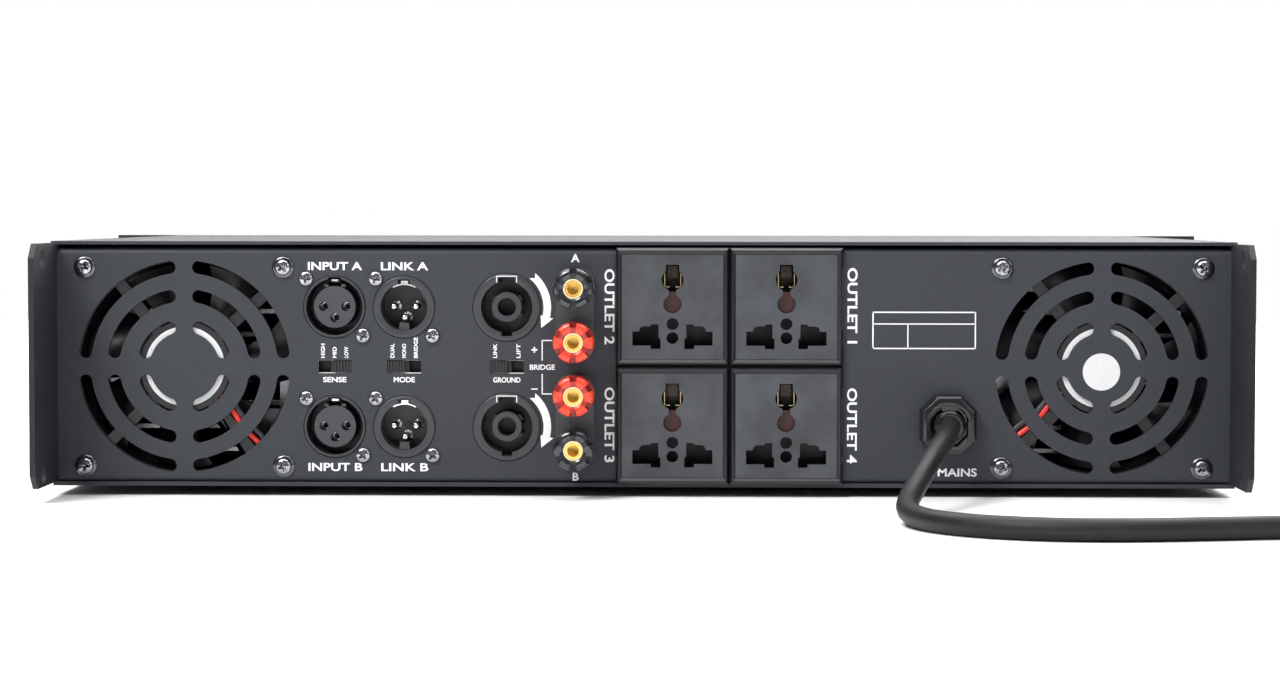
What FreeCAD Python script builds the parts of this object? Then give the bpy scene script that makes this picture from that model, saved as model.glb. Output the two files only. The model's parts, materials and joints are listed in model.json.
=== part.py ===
"""Two-channel power amplifier for a 19 inch rack, two units high.

The rear connector panel faces +Y, the front panel faces -Y and +Z is up. The origin is on the
surface that the feet stand on, under the middle of the body. Panels are drawn flat in their own
u (right), v (up) and w (outward) directions and then stood up at the rear or at the front.
Lengths are in millimetres.
"""
import FreeCAD
import Part
import math
import os

from FreeCAD import Placement, Rotation, Vector

# ---------------------------------------------------------------- driving sizes
rack_unit = 44.45
units_high = 2
unit_relief = 0.8            # what a rack panel leaves free of its units
body_width = 424.4
body_depth = 273.0           # back of the front panel to the outer face of the rear panel
ear_reach = 38.0             # side plates behind the rear panel
rack_flange = 29.1           # front panel beyond the body, each side
handle_reach = 30.0
foot_height = 3.5
foot_radius = 9.0
foot_inset = 48.0

front_thick = 4.0
side_sheet = 2.0
cover_sheet = 1.2
base_sheet = 1.5
rear_sheet = 1.5
flange = 11.0                # width of every bent edge
bend_radius = 2.4
cover_gap = 1.1              # dark line between the cover and the rear panel

fit = 0.15                   # a fixed piece in its hole, on the radius
running = 0.05               # a turning or sliding piece, on the radius
seat_gap = 0.2               # between a moving face and the one it comes to rest on

# rear layout, from the middle of the rear panel
rear_mid_drop = 1.0          # the rear layout sits this much below mid height
row_offset = 21.5            # socket rows above and below the middle
input_u = -110.3
link_u = -85.3
speaker_u = -48.4
post_u = -23.8
post_pitch = 19.05
fan_edge = 47.7              # fan centre to the side of the body
outlet_u = 31.4
outlet_pitch_u = 40.7
outlet_pitch_v = 42.5
outlet_raise = 0.5
bushing_u = 109.5
bushing_drop = 20.1

# fans
fan_size = 80.0
fan_thick = 25.0
fan_hole_pitch = 71.5
fan_bore_gap = 2.0           # frame left outside the duct
slot_radii = (14.8, 25.7, 36.0)
slot_width = 4.6
slot_bar = 5.9               # metal left between slots of a ring
hub_radius = 16.5
blade_count = 7
blade_pitch = 38.0
blade_sheet = 1.6
blade_chord = 21.0
shaft_radius = 1.5
bearing_radius = 4.0

# round sockets
xlr_radius = 11.15
xlr_groove = (7.55, 10.2)
xlr_insert_face = -0.8
xlr_hole_radius = 1.55
xlr_well = 8.4
xlr_depth = 22.0
xlr_pin_places = ((-4.0, 0.1), (4.0, 0.1), (0.0, -3.9))
xlr_screw_offset = 10.2
speaker_radius = 12.2
speaker_well = 9.25
speaker_hub = (3.15, 5.45)
speaker_hub_face = -0.6
speaker_depth = 28.0
socket_well_depth = 14.0
socket_proud = 0.6

# binding posts
post_cap_radius = 7.2
post_cap_length = 17.0
post_insert_radius = 4.5
post_stud_radius = 3.0
banana_radius = 2.05
banana_depth = 16.0
post_base_width = 13.9
post_base_thick = 2.5
post_notches = 6

# slide switches
switch_slot = (12.2, 4.9)
switch_knob_width = 6.2
switch_throw = 2.95         # knob's travel each side of the middle
switch_body = (19.0, 9.0, 8.0)
switch_wall = 1.0

# mains outlets
outlet_face = (36.4, 37.5)
outlet_proud = 3.2
outlet_face_thick = 2.2
outlet_depth = 19.0
outlet_wall = 1.5
shutter_travel = 4.0

# front panel
slot_pitch_u = 465.1         # rack fixing holes, across
slot_pitch_v = 76.2          # rack fixing holes, upwards
rack_slot = (10.3, 7.0)
vent_count = 7
vent_slot = (96.0, 4.0)
vent_pitch = 9.2
vent_u = 130.0
knob_u = 45.0
knob_radius = 13.0
knob_length = 17.0
knob_shaft = 3.0
rocker_size = (19.0, 13.0)
rocker_v = 18.0
rocker_tilt = 8.0
led_rows = 5
led_pitch = 7.0
led_radius = 1.5
led_u = 8.0

# mains cord
cord_radius = 3.75
coil_turn_radius = 41.5      # middle of the bundle of turns
coil_columns = 2
coil_layers = 3

# ---------------------------------------------------------------- derived sizes
body_height = units_high * rack_unit - unit_relief
panel_width = body_width + 2 * rack_flange
total_depth = handle_reach + front_thick + body_depth + ear_reach
front_face_y = -total_depth / 2 + handle_reach
rear_face_y = front_face_y + front_thick + body_depth
half_width = body_width / 2
inner_half = half_width - side_sheet
cover_under = body_height - cover_sheet
rear_top = cover_under - cover_gap
rear_mid = body_height / 2 - rear_mid_drop
front_mid = body_height / 2
fan_u = half_width - fan_edge
post_rows = [rear_mid + post_pitch * step for step in (1.5, 0.5, -0.5, -1.5)]
socket_rows = {"a": rear_mid + row_offset, "b": rear_mid - row_offset}
outlet_mid = rear_mid + outlet_raise
outlets = [
    (outlet_u + side * outlet_pitch_u / 2, outlet_mid + level * outlet_pitch_v / 2)
    for side, level in ((1, 1), (-1, 1), (-1, -1), (1, -1))
]
switches = {"sensitivity": (input_u, 3, 2), "mode": (link_u, 3, 0), "ground": (speaker_u, 2, 0)}
bushing_at = (bushing_u, rear_mid - bushing_drop)
cord_diameter = 2 * cord_radius

rear_frame = Placement(
    Vector(0, rear_face_y, foot_height),
    Rotation(Vector(-1, 0, 0), Vector(0, 0, 1), Vector(0, 1, 0), "XYZ"),
)
front_frame = Placement(
    Vector(0, front_face_y, foot_height),
    Rotation(Vector(1, 0, 0), Vector(0, 0, 1), Vector(0, -1, 0), "XYZ"),
)
parts = {}


# ---------------------------------------------------------------- drawing helpers
def block(u, v, w):
    """Box from (low, high) pairs."""
    corner = Vector(u[0], v[0], w[0])
    return Part.makeBox(u[1] - u[0], v[1] - v[0], w[1] - w[0], corner)


def centred(at, size, w):
    """Box of size (across, up) centred on at."""
    (u, v), (across, up) = at, size
    return block((u - across / 2, u + across / 2), (v - up / 2, v + up / 2), w)


def rod(at, radius, w):
    return Part.makeCylinder(radius, w[1] - w[0], Vector(at[0], at[1], w[0]))


def tube(at, inner, outer, w):
    return rod(at, outer, w).cut(rod(at, inner, w))


def rounded(at, size, w, radius):
    """Plate of size (across, up) with round corners along w."""
    plate = centred(at, size, w)
    return plate.makeFillet(radius, [edge for edge in plate.Edges if upright(edge)])


def upright(edge):
    ends = [vertex.Point for vertex in edge.Vertexes]
    if len(ends) != 2:
        return False
    return abs(ends[0].x - ends[1].x) < 1e-6 and abs(ends[0].y - ends[1].y) < 1e-6


def prism(points, w):
    """Straight-sided outline of (u, v) points, from w[0] to w[1]."""
    corners = [Vector(u, v, w[0]) for u, v in points]
    outline = Part.makePolygon(corners + corners[:1])
    return Part.Face(outline).extrude(Vector(0, 0, w[1] - w[0]))


def polar(radius, angle, at=(0.0, 0.0), w=0.0):
    turn = math.radians(angle)
    return Vector(at[0] + radius * math.cos(turn), at[1] + radius * math.sin(turn), w)


def joined(shapes):
    shapes = list(shapes)
    return shapes[0].multiFuse(shapes[1:]) if len(shapes) > 1 else shapes[0]


def without(shape, cutters):
    return shape.cut(joined(cutters))


def group(shapes):
    return Part.makeCompound(list(shapes))


def place(name, shape, frame=None):
    """Keep a finished piece under its node's name."""
    standing = shape.copy()
    if frame is not None:
        standing.Placement = frame.multiply(standing.Placement)
    parts[name] = standing


def mirror_u(shape):
    return shape.mirror(Vector(0, 0, 0), Vector(1, 0, 0))


def square_of(at, pitch_u, pitch_v):
    return [
        (at[0] + side * pitch_u / 2, at[1] + level * pitch_v / 2)
        for side in (-1, 1)
        for level in (-1, 1)
    ]


# ---------------------------------------------------------------- screws
def pan_screw(at, thread, head, seat, length):
    """Cross-head screw with a low domed head standing on w = seat."""
    rise = 0.85 * thread
    dome = Part.makeCone(head, 0.55 * head, rise, Vector(at[0], at[1], seat))
    arm = 0.32 * thread
    cross = joined([
        centred(at, (1.1 * head, arm), (seat + 0.5 * rise, seat + 1.1 * rise)),
        centred(at, (arm, 1.1 * head), (seat + 0.5 * rise, seat + 1.1 * rise)),
    ])
    return joined([dome.cut(cross), rod(at, thread, (seat - length, seat))])


fan_thread = 2.0
connector_thread = 1.5
case_thread = 1.75


def fan_places():
    return [(side * fan_u, rear_mid) for side in (-1, 1)]


def xlr_places():
    return [(u, row) for u in (input_u, link_u) for row in socket_rows.values()]


def xlr_screw_places():
    """Two screws on one diagonal of each socket."""
    return [
        (u + side * xlr_screw_offset, v - side * xlr_screw_offset)
        for u, v in xlr_places()
        for side in (-1, 1)
    ]


def fan_screw_places():
    return [
        corner
        for at in fan_places()
        for corner in square_of(at, fan_hole_pitch, fan_hole_pitch)
    ]


def rear_screws():
    place(
        "fan_screws",
        group(
            joined([
                pan_screw(at, fan_thread, 2.6, 0.8, 9.0),
                tube(at, fan_thread, 3.85, (0.0, 0.8)),
            ])
            for at in fan_screw_places()
        ),
        rear_frame,
    )
    place(
        "connector_screws",
        group(pan_screw(at, connector_thread, 2.6, 0.0, 6.0) for at in xlr_screw_places()),
        rear_frame,
    )


# ---------------------------------------------------------------- case
cover_screw_inset = 6.0
side_screw_v = 26.0
cover_head_radius = 3.2


def cover_screw_places():
    """Screws through the cover into the side plates' flanges, as (x, y)."""
    front = front_face_y + front_thick
    ys = [front + body_depth * share for share in (0.08, 0.36, 0.64, 0.90)]
    xs = (-(half_width - cover_screw_inset), half_width - cover_screw_inset)
    return [(x, y) for x in xs for y in ys]


def front_screw_places():
    """Screws through the front panel into the side plates' front flanges, as (u, v)."""
    across = half_width - cover_screw_inset
    return square_of((0.0, front_mid), 2 * across, 2 * side_screw_v)


def base_pan():
    depth = (front_face_y + front_thick, rear_face_y)
    floor = (foot_height, foot_height + base_sheet)
    sheet = block((-half_width, half_width), depth, floor)
    vents = [
        centred((side * 0.22 * body_width, depth[0] + 0.30 * body_depth), (60.0, 3.5), floor)
        .translated(Vector(0, 8.0 * row, 0))
        for side in (-1, 1)
        for row in range(5)
    ]
    place("base_pan", without(sheet, vents))


def side_plate(name, side):
    """Flat plate with bent top, bottom and front edges; its rear end is a drilled ear."""
    front = -(body_depth)
    chamfer = 5.0
    ear_top = cover_under + 0.6
    ear_bottom = base_sheet + 0.2
    outline = [
        (front, base_sheet), (0.6, base_sheet), (0.6, ear_bottom),
        (ear_reach - chamfer, ear_bottom), (ear_reach, ear_bottom + chamfer),
        (ear_reach, ear_top - chamfer), (ear_reach - chamfer, ear_top),
        (1.6, ear_top), (1.6, cover_under), (front, cover_under),
    ]
    corners = [Vector(0, w, v) for w, v in outline]
    sheet = Part.Face(Part.makePolygon(corners + corners[:1])).extrude(Vector(side_sheet, 0, 0))
    inner = (-flange, side_sheet)
    run = (front, -(rear_sheet + fan_thick + 2.0))
    top = Part.makeBox(flange + side_sheet, run[1] - run[0], side_sheet,
                       Vector(inner[0], run[0], cover_under - side_sheet))
    bottom = Part.makeBox(flange + side_sheet, run[1] - run[0], side_sheet,
                          Vector(inner[0], run[0], base_sheet))
    nose = Part.makeBox(flange + side_sheet, side_sheet, cover_under - base_sheet,
                        Vector(inner[0], front, base_sheet))
    plate = joined([sheet, top, bottom, nose])
    holes = [
        Part.makeCylinder(ear_hole_radius, 3 * side_sheet, Vector(-side_sheet, w, v),
                          Vector(1, 0, 0))
        for w, v in ear_hole_places()
    ]
    holes += [
        Part.makeCylinder(case_thread, 3 * side_sheet,
                          Vector(x_in, y - rear_face_y, cover_under - 2 * side_sheet))
        for x_in, y in [(side_sheet - cover_screw_inset, y)
                        for x, y in cover_screw_places() if x > 0]
    ]
    holes += [
        Part.makeCylinder(case_thread, 3 * side_sheet,
                          Vector(side_sheet - cover_screw_inset, front - side_sheet, v),
                          Vector(0, 1, 0))
        for u, v in front_screw_places() if u > 0
    ]
    plate = without(plate, holes).translated(
        Vector(half_width - side_sheet, rear_face_y, foot_height))
    place(name, plate if side > 0 else mirror_u(plate))


ear_hole_radius = 3.2
ear_hole_w = 24.0


def ear_hole_places():
    """Rear support holes in each ear, as (w, v)."""
    return [(ear_hole_w, front_mid + level * slot_pitch_v / 2) for level in (-1, 1)]


def top_cover():
    depth = (front_face_y + front_thick, rear_face_y + 1.0)
    level = (foot_height + cover_under, foot_height + body_height)
    sheet = block((-half_width, half_width), depth, level)
    holes = [cover_head(at, level, fit) for at in cover_screw_places()]
    place("top_cover", without(sheet, holes))


def cover_head(at, level, clearance):
    """Countersunk head, as wide as its thread under the sheet."""
    return Part.makeCone(case_thread + clearance, cover_head_radius + clearance,
                         level[1] - level[0], Vector(at[0], at[1], level[0]))


def case_screws():
    level = (foot_height + cover_under, foot_height + body_height - 0.1)
    lids = []
    for at in cover_screw_places():
        slot = joined([
            centred(at, size, (level[1] - 0.6, level[1] + 1.0)) for size in ((3.6, 0.8), (0.8, 3.6))
        ])
        head = cover_head(at, level, 0.0).cut(slot)
        lids.append(joined([head, rod(at, case_thread, (level[0] - 4.5, level[0]))]))
    fronts = [
        pan_screw(at, case_thread, 3.2, 0.0, front_thick + 3.0) for at in front_screw_places()
    ]
    standing = []
    for screw in fronts:
        screw.Placement = front_frame.multiply(screw.Placement)
        standing.append(screw)
    place("case_screws", group(lids + standing))


def rubber_feet():
    across = half_width - foot_inset
    along = body_depth / 2 - foot_inset
    middle = (front_face_y + front_thick + rear_face_y) / 2
    feet = []
    for at in square_of((0.0, middle), 2 * across, 2 * along):
        foot = Part.makeCone(0.88 * foot_radius, foot_radius, foot_height,
                             Vector(at[0], at[1], 0))
        feet.append(foot)
    place("rubber_feet", group(feet))


# ---------------------------------------------------------------- rear panel
def fan_grille(at):
    """Three broken rings of round-ended slots."""
    slots = []
    for radius in slot_radii:
        clear = math.degrees(math.asin((slot_bar + slot_width) / 2 / radius))
        for quarter in range(4):
            slots.append(arc_slot(at, radius, 45.0 - clear, 45.0 + 90.0 * quarter))
    return slots


def arc_slot(at, radius, half_angle, middle):
    inner, outer = radius - slot_width / 2, radius + slot_width / 2
    first, last = middle - half_angle, middle + half_angle

    def tip(angle, way):
        along = polar(slot_width / 2 * way, angle + 90.0)
        return polar(radius, angle, at, -2 * rear_sheet) + along

    def on(rim, angle):
        return polar(rim, angle, at, -2 * rear_sheet)

    edges = [
        Part.Arc(on(inner, first), on(inner, middle), on(inner, last)).toShape(),
        Part.Arc(on(inner, last), tip(last, 1), on(outer, last)).toShape(),
        Part.Arc(on(outer, last), on(outer, middle), on(outer, first)).toShape(),
        Part.Arc(on(outer, first), tip(first, -1), on(inner, first)).toShape(),
    ]
    return Part.Face(Part.Wire(edges)).extrude(Vector(0, 0, 3 * rear_sheet))


def rear_panel():
    wide = (-inner_half, inner_half)
    bent = -flange
    sheet = joined([
        block(wide, (base_sheet, rear_top), (-rear_sheet, 0.0)),
        block(wide, (rear_top - rear_sheet, rear_top), (bent, 0.0)),
        block(wide, (base_sheet, base_sheet + rear_sheet), (bent, 0.0)),
    ]).removeSplitter()
    bends = [
        edge for edge in sheet.Edges
        if edge.Length > body_width / 2
        and all(abs(vertex.Z) < 1e-6 for vertex in edge.Vertexes)
    ]
    sheet = sheet.makeFillet(bend_radius, bends)
    through = (-2 * rear_sheet, rear_sheet)
    pocket = fan_size + 2 * running
    holes = [slot for at in fan_places() for slot in fan_grille(at)]
    holes += [centred(at, (pocket, pocket), (bent - 1.0, -rear_sheet)) for at in fan_places()]
    holes += [rod(at, fan_thread + fit, through) for at in fan_screw_places()]
    holes += [rod(at, xlr_radius + fit, through) for at in xlr_places()]
    holes += [rod(at, connector_thread + fit, through) for at in xlr_screw_places()]
    holes += [rod((speaker_u, row), speaker_radius + fit, through)
              for row in socket_rows.values()]
    holes += [rod((post_u, row), post_stud_radius + fit, through) for row in post_rows]
    holes += [centred((u, rear_mid), switch_slot, through) for u, _, _ in switches.values()]
    holes += [centred(at, outlet_hole(), through) for at in outlets]
    holes.append(rod(bushing_at, bushing_throat + fit, through))
    place("rear_panel", without(sheet, holes), rear_frame)


# ---------------------------------------------------------------- fans
strut_angles = (128.0, 42.0, 225.0, -52.0)
strut_sheet = 2.6
strut_width = 4.2
cup_depth = 17.0
cup_gap = 1.5


def fan_frame(name, at):
    """Square frame with a round duct; four struts carry the motor plate and bearing."""
    rear, front = -rear_sheet, -rear_sheet - fan_thick
    duct = fan_size / 2 - fan_bore_gap
    shell = rounded(at, (fan_size, fan_size), (front, rear), 4.0)
    shell = shell.cut(rod(at, duct, (front - 1, rear + 1)))
    corners = square_of(at, fan_hole_pitch, fan_hole_pitch)
    shell = without(shell, [rod(c, fan_thread + fit, (front - 1, rear + 1)) for c in corners])
    plate = (rear - strut_sheet, rear)
    struts = []
    for angle in strut_angles:
        bar = block((hub_radius - 4.0, duct + 1.0),
                    (-strut_width / 2, strut_width / 2), plate)
        bar.rotate(Vector(0, 0, 0), Vector(0, 0, 1), angle)
        struts.append(bar.translated(Vector(at[0], at[1], 0)))
    hub = rod(at, hub_radius, plate)
    bearing = tube(at, shaft_radius + running, bearing_radius, (rear - 15.0, rear - strut_sheet))
    place(name, joined([shell, hub, bearing] + struts), rear_frame)


def fan_rotor(name, at):
    """Cup with its shaft and a ring of pitched blades."""
    top = -rear_sheet - strut_sheet - cup_gap
    foot = top - cup_depth
    wall = 1.8
    cup = rod(at, hub_radius, (foot, top)).cut(rod(at, hub_radius - wall, (foot + wall, top + 1)))
    shaft = rod(at, shaft_radius, (foot, top - 1.0))
    reach = fan_size / 2 - fan_bore_gap - 0.8
    band = tube(at, hub_radius - 0.5, reach, (foot + 0.6, top - 0.6))
    blades = []
    for number in range(blade_count):
        blade = block((hub_radius - 1.2, reach + 4.0), (-blade_chord / 2, blade_chord / 2),
                      (-blade_sheet / 2, blade_sheet / 2))
        blade.rotate(Vector(0, 0, 0), Vector(1, 0, 0), blade_pitch)
        blade.rotate(Vector(0, 0, 0), Vector(0, 0, 1), 360.0 / blade_count * number)
        blade.translate(Vector(at[0], at[1], (foot + top) / 2))
        blades.append(blade.common(band))
    place(name, joined([cup, shaft] + blades), rear_frame)


# ---------------------------------------------------------------- signal sockets
socket_flange = 1.8


def socket_body(at, radius, depth):
    """Round body through the panel with a square flange behind it."""
    plate = rounded(at, (2 * radius + 2.2, 2 * radius + 2.2),
                    (-rear_sheet - socket_flange, -rear_sheet), 2.0)
    return joined([rod(at, radius, (-depth, socket_proud)), plate])


def xlr_input(name, at):
    """Female three-pole socket: an insert with three holes inside a ring-shaped groove."""
    well = (-socket_well_depth, socket_proud + 1)
    notch = block((at[0] - 2.3, at[0] + 2.3), (at[1] + xlr_groove[0], at[1] + xlr_radius - 0.3),
                  well)
    cuts = [rod(at, xlr_groove[1], well), notch]
    cuts += [rod(screw, connector_thread + fit, (-8.0, 0.0)) for screw in own_screws(at)]
    shell = without(socket_body(at, xlr_radius, xlr_depth), cuts)
    holes = [
        rod((at[0] + u, at[1] + v), xlr_hole_radius, (-socket_well_depth + 1, socket_proud + 1))
        for u, v in xlr_pin_places
    ]
    insert = without(rod(at, xlr_groove[0], (-socket_well_depth, xlr_insert_face)), holes)
    place(name, group([shell, insert]), rear_frame)


def xlr_link(name, at):
    """Male three-pole socket: a round well with a key block; its pins are separate."""
    well = (-socket_well_depth, socket_proud + 1)
    key = block((at[0] - 2.0, at[0] + 2.0), (at[1] - xlr_well - 0.5, at[1] - 5.6),
                (-socket_well_depth, -0.6))
    cuts = [
        rod(at, xlr_well, well),
        block((at[0] - 2.1, at[0] + 2.1), (at[1] + xlr_well - 0.4, at[1] + xlr_radius - 1.0),
              (-6.0, socket_proud + 1)),
    ]
    cuts += [rod(screw, connector_thread + fit, (-8.0, 0.0)) for screw in own_screws(at)]
    body = without(socket_body(at, xlr_radius, xlr_depth), cuts)
    place(name, joined([body, key]), rear_frame)


def own_screws(at):
    return [
        (u, v) for u, v in xlr_screw_places()
        if math.hypot(u - at[0], v - at[1]) < 2 * xlr_screw_offset
    ]


def speaker_socket(name, at):
    """Twist-lock socket: a keyed ring-shaped well round a hollow hub."""
    well = (-socket_well_depth, socket_proud + 1)
    top_key = block((at[0] - 3.05, at[0] + 3.05),
                    (at[1] + speaker_well - 1.0, at[1] + speaker_well + 1.5), well)
    low_key = block((at[0] - 2.0, at[0] + 2.0),
                    (at[1] - speaker_well - 1.3, at[1] - speaker_well + 1.0), well)
    shell = without(socket_body(at, speaker_radius, speaker_depth),
                    [rod(at, speaker_well, well), top_key, low_key])
    hub = tube(at, speaker_hub[0], speaker_hub[1], (-socket_well_depth, speaker_hub_face))
    place(name, group([shell, hub]), rear_frame)


# ---------------------------------------------------------------- binding posts
post_front = post_base_thick + seat_gap + post_cap_length
nut_radius = 4.9
nut_thick = 3.0


def post_base_plates():
    plates = []
    for upper, lower in ((0, 1), (2, 3)):
        middle = (post_rows[upper] + post_rows[lower]) / 2
        size = (post_base_width, post_pitch + post_base_width)
        plate = rounded((post_u, middle), size, (0.0, post_base_thick), 5.0)
        bores = [rod((post_u, post_rows[row]), post_stud_radius + fit, (-1.0, 5.0))
                 for row in (upper, lower)]
        plates.append(without(plate, bores))
    place("post_base_plates", group(plates), rear_frame)


def post_studs():
    """Threaded studs, bored for a plug at the front and held by a nut behind the panel."""
    studs = []
    front = post_front - 0.6
    for row in post_rows:
        at = (post_u, row)
        stud = rod(at, post_stud_radius, (-13.0, front))
        nut = prism([tuple(polar(nut_radius, 60.0 * k, at))[:2] for k in range(6)],
                    (-rear_sheet - nut_thick, -rear_sheet))
        cross = Part.makeCylinder(0.9, 4 * post_stud_radius,
                                  Vector(at[0] - 2 * post_stud_radius, row, -10.0),
                                  Vector(1, 0, 0))
        bore = rod(at, banana_radius, (front - banana_depth, front + 1))
        studs.append(without(joined([stud, nut]), [bore, cross]))
    place("post_studs", group(studs), rear_frame)


def post_insert(name, at):
    """Metal core of the cap, which travels along the stud."""
    length = (post_base_thick + seat_gap, post_front - 0.3)
    place(name, tube(at, post_stud_radius + running, post_insert_radius, length), rear_frame)


def post_cap(name, at):
    """Insulated cap with notched rim, which turns round its core."""
    back, front = post_base_thick + seat_gap, post_front
    skirt = rod(at, post_cap_radius - 0.9, (back, front - 6.0))
    head = rod(at, post_cap_radius, (back + 4.0, front))
    rim = [edge for edge in head.Edges
           if abs(edge.BoundBox.ZMin - front) < 1e-6 and edge.Length > 6 * post_cap_radius
           and edge.BoundBox.ZLength < 1e-6]
    head = head.makeChamfer(1.2, rim)
    cuts = [rod(at, post_insert_radius + running, (back - 1, front + 1))]
    for notch in range(post_notches):
        centre = polar(post_cap_radius + 0.5, 360.0 / post_notches * (notch + 0.5), at)
        cuts.append(rod((centre.x, centre.y), 2.0, (front - 5.2, front + 1)))
    place(name, without(joined([skirt, head]), cuts), rear_frame)


# ---------------------------------------------------------------- slide switches
def slider_rest(positions, chosen):
    """Offset of the knob from the slot's middle at rest."""
    return (chosen - (positions - 1) / 2) * slider_pitch(positions)


def slider_pitch(positions):
    return 2 * switch_throw / (positions - 1)


knob_top = -0.3
carriage_thick = 1.5


def switch_bodies():
    long, high, deep = switch_body
    bodies = []
    for u, _, _ in switches.values():
        at = (u, rear_mid)
        shell = centred(at, (long, high), (-rear_sheet - deep, -rear_sheet))
        room = centred(at, (long - 2 * switch_wall, high - 2 * switch_wall),
                       (-rear_sheet - deep + switch_wall, -rear_sheet - 0.6))
        mouth = centred(at, switch_slot, (-rear_sheet - deep / 2, 1.0))
        bodies.append(without(shell, [room, mouth]))
    place("switch_bodies", group(bodies), rear_frame)


def switch_slider(name, positions, u, chosen):
    at = (u + slider_rest(positions, chosen), rear_mid)
    knob_high = switch_slot[1] - 2 * running
    neck = -rear_sheet - 0.6 - running
    knob = centred(at, (switch_knob_width, knob_high), (neck - carriage_thick, knob_top))
    ribs = [
        centred((at[0] + shift, at[1]), (0.45, knob_high + 1), (knob_top - 0.5, knob_top + 1))
        for shift in (-2.25, -1.35, -0.45, 0.45, 1.35, 2.25)
    ]
    carriage = centred(at, (switch_knob_width + 3.0, switch_body[1] - 2 * switch_wall - 0.6),
                       (neck - carriage_thick, neck))
    place(name, joined([without(knob, ribs), carriage]), rear_frame)


# ---------------------------------------------------------------- mains outlets
def outlet_hole():
    return (outlet_face[0] - 1.0, outlet_face[1] - 1.0)


def outlet(name, at):
    """Black snap-in housing with a bevelled surround."""
    size = (outlet_pitch_u - 0.1, outlet_pitch_v - 0.1)
    surround = centred(at, size, (0.0, outlet_proud))
    outer = [edge for edge in surround.Edges
             if all(abs(vertex.Z - outlet_proud) < 1e-6 for vertex in edge.Vertexes)]
    surround = surround.makeChamfer(1.1, outer)
    box_size = tuple(side - 2 * fit for side in outlet_hole())
    housing = centred(at, box_size, (-outlet_depth, 0.5))
    room = centred(at, tuple(side - 2 * outlet_wall for side in box_size),
                   (-outlet_depth + outlet_wall, outlet_proud + 1))
    window = centred(at, outlet_face, (face_back(), outlet_proud + 1))
    place(name, without(joined([surround, housing]), [room, window]), rear_frame)


def face_back():
    return outlet_proud - 0.6 - outlet_face_thick


key_circle = (0.0, 9.7, 3.85)
key_slot = (4.7, 15.1)
pin_circle = (0.0, 1.05, 3.25)
neck_width = 2.6
small_holes = ((0.0, -6.1), (0.0, -11.1))
small_hole_radius = 2.1


def blade_opening(w):
    """Stepped hole for a flat or round line pin, left of the middle."""
    shoulder = block((-11.9, -5.0), (-13.8, -6.9), w)
    corner = [
        edge for edge in shoulder.Edges
        if upright(edge) and abs(edge.Vertexes[0].X + 11.9) < 1e-6
        and abs(edge.Vertexes[0].Y + 6.9) < 1e-6
    ]
    return joined([
        block((-14.3, -5.0), (-13.8, -8.8), w),
        shoulder.makeFillet(1.7, corner),
        block((-7.7, -5.0), (-15.0, -6.2), w),
        block((-7.7, -4.3), (-15.0, -11.3), w),
    ])


def outlet_faces():
    """Face plates, each pierced for several kinds of plug."""
    w = (face_back() - 1, outlet_proud + 1)
    half_slot = key_slot[0] / 2
    blades = blade_opening(w)
    holes = joined(
        [
            rod(key_circle[:2], key_circle[2], w),
            block((-half_slot, half_slot), (key_circle[1], key_slot[1]), w),
            block((-neck_width / 2, neck_width / 2), (pin_circle[1], key_circle[1]), w),
            rod(pin_circle[:2], pin_circle[2], w),
            blades,
            mirror_u(blades),
        ]
        + [rod(at, small_hole_radius, w) for at in small_holes]
    )
    plates = []
    for at in outlets:
        size = tuple(side - 2 * running for side in outlet_face)
        plate = centred(at, size, (face_back(), outlet_proud - 0.6))
        plates.append(plate.cut(holes.translated(Vector(at[0], at[1], 0))))
    place("outlet_faces", group(plates), rear_frame)


shutter_gap = 0.3


def outlet_shutter(name, at):
    """Sprung plate behind the line pin hole, which slides down out of the pin's way."""
    back = face_back() - shutter_gap
    plate = block((-3.6, 3.6), (-3.0, 5.4), (back - 1.6, back))
    ramp = prism([(-2.2, -2.0), (2.2, -2.0), (2.2, 3.0), (-2.2, 3.0)], (back - 4.0, back - 1.6))
    place(name, joined([plate, ramp]).translated(Vector(at[0], at[1], 0)), rear_frame)


earth_clip_middle = (0.0, 9.6)
earth_clip_size = 7.0
earth_clip_sheet = 0.6


def earth_clip(floor):
    """Two cheeks, a back and a foot of sprung strip round the earth pin."""
    u, v = earth_clip_middle
    half, sheet = earth_clip_size / 2, earth_clip_sheet
    tall = (floor, face_back() - 0.5)
    foot = (floor, floor + sheet)
    cheeks = [
        block(sorted((u + side * (half - sheet), u + side * half)), (v - half, v + half), tall)
        for side in (-1, 1)
    ]
    back = block((u - half + sheet, u + half - sheet), (v - half, v - half + sheet), tall)
    base = block((u - half + sheet, u + half - sheet), (v - half + sheet, v + half), foot)
    return cheeks + [back, base]


def socket_contacts():
    """Pins of the link sockets and the sprung strips inside the outlets."""
    metal = []
    for row in socket_rows.values():
        for u, v in xlr_pin_places:
            pin = rod((link_u + u, row + v), 1.2, (-socket_well_depth, -2.4))
            tip = [edge for edge in pin.Edges
                   if edge.BoundBox.ZLength < 1e-6 and edge.BoundBox.ZMin > -3.0]
            metal.append(pin.makeFillet(0.8, tip))
    floor = -outlet_depth + outlet_wall
    for at in outlets:
        metal += [piece.translated(Vector(at[0], at[1], 0)) for piece in earth_clip(floor)]
        for side in (-1, 1):
            strip = block((-14.6, -5.2), (-14.9, -14.1), (floor, -6.0))
            strip = strip if side < 0 else mirror_u(strip)
            metal.append(strip.translated(Vector(at[0], at[1], 0)))
    place("socket_contacts", group(metal), rear_frame)


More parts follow.
